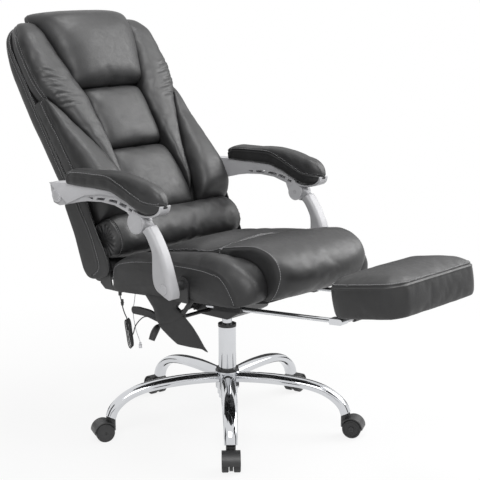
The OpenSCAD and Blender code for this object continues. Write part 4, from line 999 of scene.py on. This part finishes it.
side, side_lines = back_pad("back_bolster_l", side_table, flank_ring(side_thick, 0.62), 52,
                            0.007, 3.5, spare=0.009)
outer_line = side_lines[0]
carved(side, outer_line, 0.0026, 0.0030, 0.0008)
fold_shares = [[0.725, 0.76, 0.95], [0.69, 0.68, 0.94], [0.655, 0.72, 0.92], [0.62, 0.62, 0.88],
               [0.585, 0.62, 0.84]]
for up, inner, outer in fold_shares:
    fold = in_back([[back_half * (inner + (outer - inner) * k), -0.03,
                     back_height * (up + 0.03 * k * k)] for k in np.linspace(0, 1, 9)])
    fold, _ = surface_line(side, fold)
    carved(side, fold, 0.0022, 0.0042, 0.0012, 0.35)
wing, wing_lines = back_pad("back_wing_l", wing_table, flank_ring(wing_thick, 0.55), 52,
                            0.007, 3.5)
wing_line, crevice = wing_lines
carved(wing, wing_line, 0.0016, 0.0024, 0.0008)
carved(wing, crevice, 0.008, 0.010)
for sign, name in left_right:
    pieces = [side, wing]
    if sign < 0:
        pieces = [mirrored(side, "back_bolster_r"), mirrored(wing, "back_wing_r")]
    back_threads.sew(pieces[0], outer_line * [sign, 1, 1], 0.006 * -sign)
    back_threads.sew(pieces[0], outer_line * [sign, 1, 1], 0.014 * -sign)
    back_threads.sew(pieces[1], wing_line * [sign, 1, 1], 0.006 * -sign)
    soft(pieces[0], "back", f"back_bolster_{name}")
    soft(pieces[1], "back", f"back_wing_{name}")


def make_lumbar():
    """Roll across the back, gathered at both ends."""
    tall, deep = 0.057, 0.047       # half sizes of its section
    up, out = 0.031, 0.023          # its middle above the hinge and ahead of it
    count = 96
    reach = back_half * 0.992
    turn = np.linspace(0, 2 * math.pi, count, endpoint=False)
    rings = []
    for s in np.linspace(-1, 1, 84):
        end = min((1 - abs(s)) * reach / 0.05, 1)
        size = 0.80 + 0.20 * math.sin(end * math.pi / 2) ** 0.7
        sag = 1 + 0.012 * math.cos(3 * math.pi * s)
        y = deep * size * sag * np.sign(np.cos(turn)) * np.abs(np.cos(turn)) ** 0.9
        z = tall * size * sag * np.sign(np.sin(turn)) * np.abs(np.sin(turn)) ** 0.9
        ahead = out - 0.010 * (1 - end) ** 2
        rings.append(in_back(xyz(s * reach, y - ahead, up + z)))
    piece = loft("lumbar_cushion", rings, black_leather)
    seams = [ring_points(count, i, True) for i in (3, len(rings) - 4)]
    held = np.zeros(len(piece.data.vertices), bool)
    loops = cushion(piece, held, seams, 0.006, 4.0, 0.009)
    # gathers in the end caps
    points, outward = coordinates(piece), normals(piece)
    centre = in_back([[0, -out, up]])[0]
    radial = points - centre
    radial[:, 0] = 0
    far = np.linalg.norm(radial, axis=1)
    angle = np.arctan2(radial[:, 2], radial[:, 1])
    at_end = np.clip((np.abs(points[:, 0]) - reach + 0.004) / 0.004, 0, 1)
    gather = np.sin(angle * 17 + 1.3 * np.sin(angle * 3)) * 0.0016 * np.clip(far / 0.03, 0, 1)
    points += outward * (gather * at_end)[:, None]
    set_coordinates(piece, points)
    for loop in loops:
        carved(piece, loop, 0.0022, 0.0022, 0.0010)
        back_threads.sew(piece, loop, 0.0)
    return piece


# Side of the shell over the hinge: distances behind and above the hinge, in millimetres
flank_outline = [[54, 179], [58, 145], [65, 87], [78, 34], [87, -7], [83, -30], [67, -44],
                 [40, -54], [11, -61], [-5, -54], [-14, -30], [-19, 0], [-20, 40], [-22, 80],
                 [-28, 115], [-33, 145], [-28, 165], [10, 184]]
flank_low, flank_high = 0.2625, 0.2668
flank_seam = [[2, 153], [3, 120], [3, 90], [5, 56], [12, 19], [19, -12], [24, -24], [36, -31],
              [62, -33]]


def shell_flank():
    yz = in_back([[0, d * mm, u * mm] for d, u in flank_outline])[:, 1:] / mm
    piece = slab("shell_flank_l", yz, flank_low, flank_high, 0.0008, black_leather, 12, 26)
    line = in_back([[flank_high + 0.0012, d, u] for d, u in smooth_keys(flank_seam, 8) * mm])
    line, _ = surface_line(piece, line)
    carved(piece, line, 0.0014, 0.0026, 0.0007)
    for sign in (1, -1):
        copy = piece if sign == 1 else mirrored(piece, "shell_flank_r")
        back_threads.sew(copy, line * [sign, 1, 1], 0.004)
        placed(copy, "back", "black_leather")


shell_flank()
lumbar = make_lumbar()
soft(lumbar, "back", "lumbar_roll")
back_threads.made("back_stitches", "back")


# ARM PADS

arm_line = [[0.82, 0.244], [0.80, 0.243], [0.75, 0.242], [0.65, 0.238], [0.505, 0.241],
            [0.301, 0.234], [0.14, 0.184], [0.01, 0.13], [-0.1, 0.092], [-0.17, 0.088],
            [-0.225, 0.098], [-0.265, 0.115], [-0.29, 0.135], [-0.302, 0.15]]
# Per point of that line: heights of the seam and the crown above it, and the half width
arm_rows = [[0.06, 0.09, 0.86], [0.085, 0.125, 0.97], [0.1, 0.14, 1], [0.11, 0.145, 1],
            [0.11, 0.145, 1], [0.115, 0.165, 1], [0.11, 0.205, 1], [0.11, 0.24, 1],
            [0.105, 0.25, 0.98], [0.1, 0.24, 0.93], [0.085, 0.205, 0.82], [0.065, 0.155, 0.64],
            [0.04, 0.095, 0.42], [0.02, 0.045, 0.2]]


def arm_cushion():
    count = 56
    rows = np.concatenate([np.array(arm_line), np.array(arm_rows)], 1)
    rows = np.concatenate([[rows[0] + [0.01, 0, 0, 0, 0]],
                           [rows[0] + [0.008, 0, 0.02, 0.02, 0.25]], rows[1:]])
    fine = smooth_keys(rows, 14)
    fine = even(fine * [1, 1, 0.3, 0.3, 0.1], 66) / [1, 1, 0.3, 0.3, 0.1]
    half = (arm_pad_high.x - arm_pad_low.x) / 2
    rings = []
    for y, z, seam, crown, wide in fine:
        low = disc_at.z + z * arm_span
        flat = section(half * wide, max(crown - seam, 0.003) * arm_span, seam * arm_span, 0.6,
                       0.25, count)
        rings.append(xyz(arm_x + flat[:, 0], disc_at.y + y * arm_span,
                         low + seam * arm_span + flat[:, 1]))
    piece = loft("arm_cushion_l", rings, black_leather)
    points = coordinates(piece)
    lows = np.interp(-points[:, 1], -(disc_at.y + fine[:, 0] * arm_span),
                     disc_at.z + fine[:, 1] * arm_span)
    seams = seam_points(count, len(rings))
    return piece, cushion(piece, points[:, 2] < lows + 0.004, seams, 0.003, 3.0, 0.006)


arm_pad, arm_seams = arm_cushion()
for line in arm_seams:
    carved(arm_pad, line, 0.0014, 0.0020, 0.0008)
for sign, name in left_right:
    piece = arm_pad if sign == 1 else mirrored(arm_pad, "arm_cushion_r")
    sewn = Threads()
    for k, line in enumerate(arm_seams):
        aside = 0.004 * sign * (1 if k == 0 else -1)
        sewn.sew(piece, line[3:-3] * [sign, 1, 1], -aside)
    soft(piece, f"arm_{name}", f"arm_pad_{name}")
    sewn.made(f"arm_stitches_{name[0]}", f"arm_{name}")


# POSTS, BEAM TONGUES AND CAPS

beam_in, beam_out = (corner.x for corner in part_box("arm_beam_left"))
head_in, head_out = 0.3004, 0.3178      # faces of the post's head, between beam and cheek
# Front and rear points of the post's sections, from its foot to its head, in millimetres
post_rows = [[-111, 432, -105, 433], [-116, 438, -90, 436], [-116, 450, -76, 442],
             [-112, 464, -61, 450], [-107, 478, -51.5, 464], [-101, 496, -48, 482],
             [-94.5, 515, -47.5, 502], [-86.5, 535, -48, 520], [-78, 552, -47, 540],
             [-70, 566, -43, 553], [-60, 582, -34, 569], [-50, 595, -24.5, 582],
             [-39, 608, -16, 589]]
# Faces of the tongue under the pad's nose, from the beam to its tip
tongue_rows = [[16, 643, 14, 629], [0, 637, -2, 628], [-18, 634.5, -18, 628],
               [-34, 634, -34, 628], [-50, 636, -49, 630.5], [-61, 639.5, -60, 634],
               [-70, 645, -74.5, 639.5], [-76.5, 651.5, -82, 647], [-79.5, 658, -84.5, 656],
               [-81.5, 662, -84.5, 661.5]]


def arm_metal():
    rows = smooth_keys(post_rows, 5)
    post = bar("post_cover_l", rows, beam_in + 0.0003, beam_out - 0.0003, 0.010, silver_paint, 72)
    head = turned("post_head_l", disc_at,
                  [(x, 0.0232) for x in (head_in, 0.305, 0.311, head_out)], silver_paint)
    neck = bar("post_neck_l", [[-39, 608, -16, 589], [-20, 624, -2, 592], [4, 630, 12, 594]],
               head_in, head_out, 0.004, silver_paint)
    tongue = bar("tongue_l", smooth_keys(tongue_rows, 5), beam_in + 0.0004, beam_out - 0.0004,
                 0.0034, silver_paint, 64)
    foot_cap = turned("foot_cap_l", post_foot, [(0.3292, 0.0132), (0.3302, 0.0132),
                                                (0.3309, 0.0122), (0.3312, 0.0095)], silver_paint)
    end_cap = turned("end_cap_l", knuckle, [(0.3286, 0.0125), (0.3298, 0.0125),
                                            (0.3306, 0.0115), (0.3309, 0.009)], silver_paint)
    for sign, name in left_right:
        for piece, body in ((post, "post"), (head, "post"), (neck, "post"), (tongue, "arm"),
                            (foot_cap, "post"), (end_cap, "arm")):
            if sign < 0:
                piece = mirrored(piece, piece.name[:-1] + "r")
            stands_for = [f"arm_post_{name}"] if piece.name.startswith("post_cover") else []
            placed(piece, f"{body}_{name}", "silver_paint", *stands_for)


arm_metal()


# FOOTREST

foot_half_x, foot_half_y = 0.173, 0.105
foot_base, foot_side_height, foot_crown = 0.0086, 0.078, 0.030
foot_corner, foot_back = 0.046, 0.026
foot_steps = 5              # rings from one row of the table to the next; row 5 is the seam
# Share of the side height, share of the crown, inset
foot_table = [[0, 0, 0.0132], [0.04, 0, 0.006], [0.2, 0, 0.001], [0.5, 0, -0.001],
              [0.85, 0, -0.001], [1, 0, 0.001], [1, 0.2, 0.0075], [1, 0.4, 0.018],
              [1, 0.6, 0.032], [1, 0.77, 0.048], [1, 0.9, 0.066], [1, 1, 0.09]]


def foot_cushion():
    count = 180
    fine = smooth_keys(foot_table, foot_steps)
    rings = []
    for side_share, crown_share, inset in fine:
        flat = rounded(foot_half_x - inset, foot_half_y - inset, max(foot_corner - inset, 0.011),
                       count)
        z = foot_base + foot_side_height * side_share + foot_crown * crown_share
        rings.append(in_foot(xyz(flat[:, 0], foot_back - foot_half_y + flat[:, 1], z)))
    piece = loft("foot_cushion", rings, black_leather)
    seam = ring_points(count, 5 * foot_steps, True)
    held = np.zeros(len(piece.data.vertices), bool)
    held[:ring_points(count, 4)[0]] = True
    return piece, cushion(piece, held, [seam], 0.006, 3.5, 0.009)[0]


foot_pad, foot_seam = foot_cushion()
carved(foot_pad, foot_seam, 0.0018, 0.0026, 0.0010)
foot_threads = Threads()
foot_threads.sew(foot_pad, foot_seam, 0.005)
soft(foot_pad, "footrest", "footrest_pad")
foot_threads.made("foot_stitches", "footrest")


# REMOTE CONTROL'S POUCH

pouch_low, pouch_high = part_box("remote_pouch")
# Outlines in millimetres from the column and the floor
pouch_body = [[57, 413], [-38, 415], [-88, 421], [-60, 392], [-92, 377], [-72, 352], [-20, 334],
              [6, 338], [22, 377]]
pouch_flap = [[6, 338], [-12, 326], [-38, 311], [-66, 297], [-109, 298], [-155, 301], [-176, 295],
              [-162, 307], [-143, 330], [-121, 353], [-91, 376], [-40, 352]]
pouch_strap = [[-113, 424], [-132, 425], [-92, 377], [-81, 382]]
thick = pouch_high.x - pouch_low.x
pouch = slab("pouch_body", pouch_body, pouch_low.x + 0.001, pouch_high.x - 0.001, 0.001,
             side_leather)
flap = slab("pouch_flap", pouch_flap, pouch_low.x, pouch_low.x + thick / 3, 0.0, side_leather)
strap = slab("pouch_strap", pouch_strap, pouch_low.x, pouch_low.x + thick / 4, 0.0, side_leather)
placed(pouch, "seat", "black_leather", "remote_pouch")
placed(flap, "seat", "black_leather")
placed(strap, "seat", "black_leather")


# RECLINE PADDLE

paddle_outline = [[-2, 335], [4, 329], [22, 331], [72, 340], [128, 339], [133, 348], [130, 358],
                  [106, 361], [64, 360], [22, 352], [0, 346]]
housing_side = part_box("recline_lever")[1].x
paddle = slab("paddle_grip", paddle_outline, -0.233, -0.224, 0.0, black_plastic, 4)
shaft = turned("paddle_shaft", Vector((0, 0.008, board_low - 0.083)),
               [(-0.226, 0.005), (-0.2, 0.005), (-0.1, 0.005), (housing_side, 0.005)],
               black_plastic, 24)
placed(paddle, "recline_lever", "black_plastic", "recline_lever")
placed(shaft, "recline_lever", "black_plastic")


# FLOOR, BACKDROP AND LIGHT

def seen_share(tree):
    """One for what the camera, gloss and glass see, and none for the light on the chair."""
    path = add(tree, "ShaderNodeLightPath")
    seen = add(tree, "ShaderNodeMath", operation="MAXIMUM")
    both = add(tree, "ShaderNodeMath", operation="MAXIMUM")
    link(path.outputs["Is Camera Ray"], seen.inputs[0])
    link(path.outputs["Is Glossy Ray"], seen.inputs[1])
    link(seen.outputs[0], both.inputs[0])
    link(path.outputs["Is Transmission Ray"], both.inputs[1])
    return both.outputs[0]


def mix_of(tree, share, first, second, out):
    mix = add(tree, "ShaderNodeMixShader")
    for source, socket in zip((share, first.outputs[0], second.outputs[0]), mix.inputs):
        link(source, socket)
    link(mix.outputs[0], out.inputs["Surface"])


def make_floor():
    made = bpy.data.materials.new("floor")
    tree = node_tree(made, empty=True)
    out = add(tree, "ShaderNodeOutputMaterial")
    plain = add(tree, "ShaderNodeBsdfDiffuse")
    plain.inputs["Color"].default_value = (0.82, 0.82, 0.82, 1)
    glow = add(tree, "ShaderNodeEmission")
    glow.inputs["Color"].default_value = (1, 1, 1, 1)
    # the floor fades into the white backdrop away from the object
    place = add(tree, "ShaderNodeTexCoord")
    far = add(tree, "ShaderNodeVectorMath", operation="LENGTH")
    link(place.outputs["Object"], far.inputs[0])
    shown = add(tree, "ShaderNodeMath", operation="MULTIPLY")
    link(seen_share(tree), shown.inputs[0])
    link(number_between(tree, far.outputs["Value"], 0.86, 1.0, 0.6, 1.5), shown.inputs[1])
    mix_of(tree, shown.outputs[0], plain, glow, out)
    size = 14
    floor = mesh_piece("floor", [(-size, -size, 0), (size, -size, 0), (size, size, 0),
                                 (-size, size, 0)], [(0, 1, 2, 3)], made)


def make_world():
    world = bpy.data.worlds.new("world")
    scene.world = world
    tree = node_tree(world, empty=True)
    out = add(tree, "ShaderNodeOutputWorld")
    dim, white = add(tree, "ShaderNodeBackground"), add(tree, "ShaderNodeBackground")
    dim.inputs["Color"].default_value = (1, 1, 1, 1)
    dim.inputs["Strength"].default_value = 0.36
    white.inputs["Color"].default_value = (1, 1, 1, 1)
    mix_of(tree, seen_share(tree), dim, white, out)


def soft_light(name, place, aim, size, power):
    data = bpy.data.lights.new(name, "AREA")
    data.shape = "RECTANGLE"
    data.size, data.size_y = size
    data.energy = power
    lamp = new_object(name, data)
    lamp.location = place
    lamp.rotation_euler = (Vector(aim) - Vector(place)).to_track_quat("-Z", "Y").to_euler()


def dark_card(name, azimuth, distance, wide, low, high):
    """A dark card at the edge of the studio, which only gloss sees."""
    made, _, bsdf = new_material(name)
    bsdf.inputs["Base Color"].default_value = (0.01, 0.01, 0.01, 1)
    a = math.radians(azimuth)
    middle = np.array([math.sin(a) * distance, -math.cos(a) * distance])
    side = np.array([math.cos(a), math.sin(a)]) * wide / 2
    corners = [(*(middle - side), low), (*(middle + side), low), (*(middle + side), high),
               (*(middle - side), high)]
    card = mesh_piece(name, corners, [(0, 1, 2, 3)], made)
    card.visible_camera = card.visible_diffuse = card.visible_shadow = False


make_floor()
make_world()
for name, azimuth, distance, wide, low, high in (
        ("card_left", -125, 3.0, 1.6, 0.1, 2.2), ("card_right", 25, 3.4, 1.2, 0.1, 2.0),
        ("card_front", -60, 4.6, 2.2, 0.05, 0.55), ("card_rear", 130, 3.2, 2.4, 0.1, 1.6),
        ("card_low_left", -172, 1.05, 0.34, 0.002, 0.2),
        ("card_low_right", 84, 1.05, 0.3, 0.002, 0.2),
        ("card_low_front", -88, 1.15, 0.16, 0.002, 0.17)):
    dark_card(name, azimuth, distance, wide, low, high)
soft_light("key_light", (-1.9, -1.5, 2.7), (0, 0, 0.6), (1.6, 1.4), 52)
soft_light("top_light", (0.5, -0.2, 3.0), (0, 0, 0.5), (1.4, 1.0), 30)
soft_light("right_light", (2.3, -1.3, 2.3), (0, 0, 0.8), (2.2, 2.0), 84)
scene.view_settings.view_transform = "Standard"
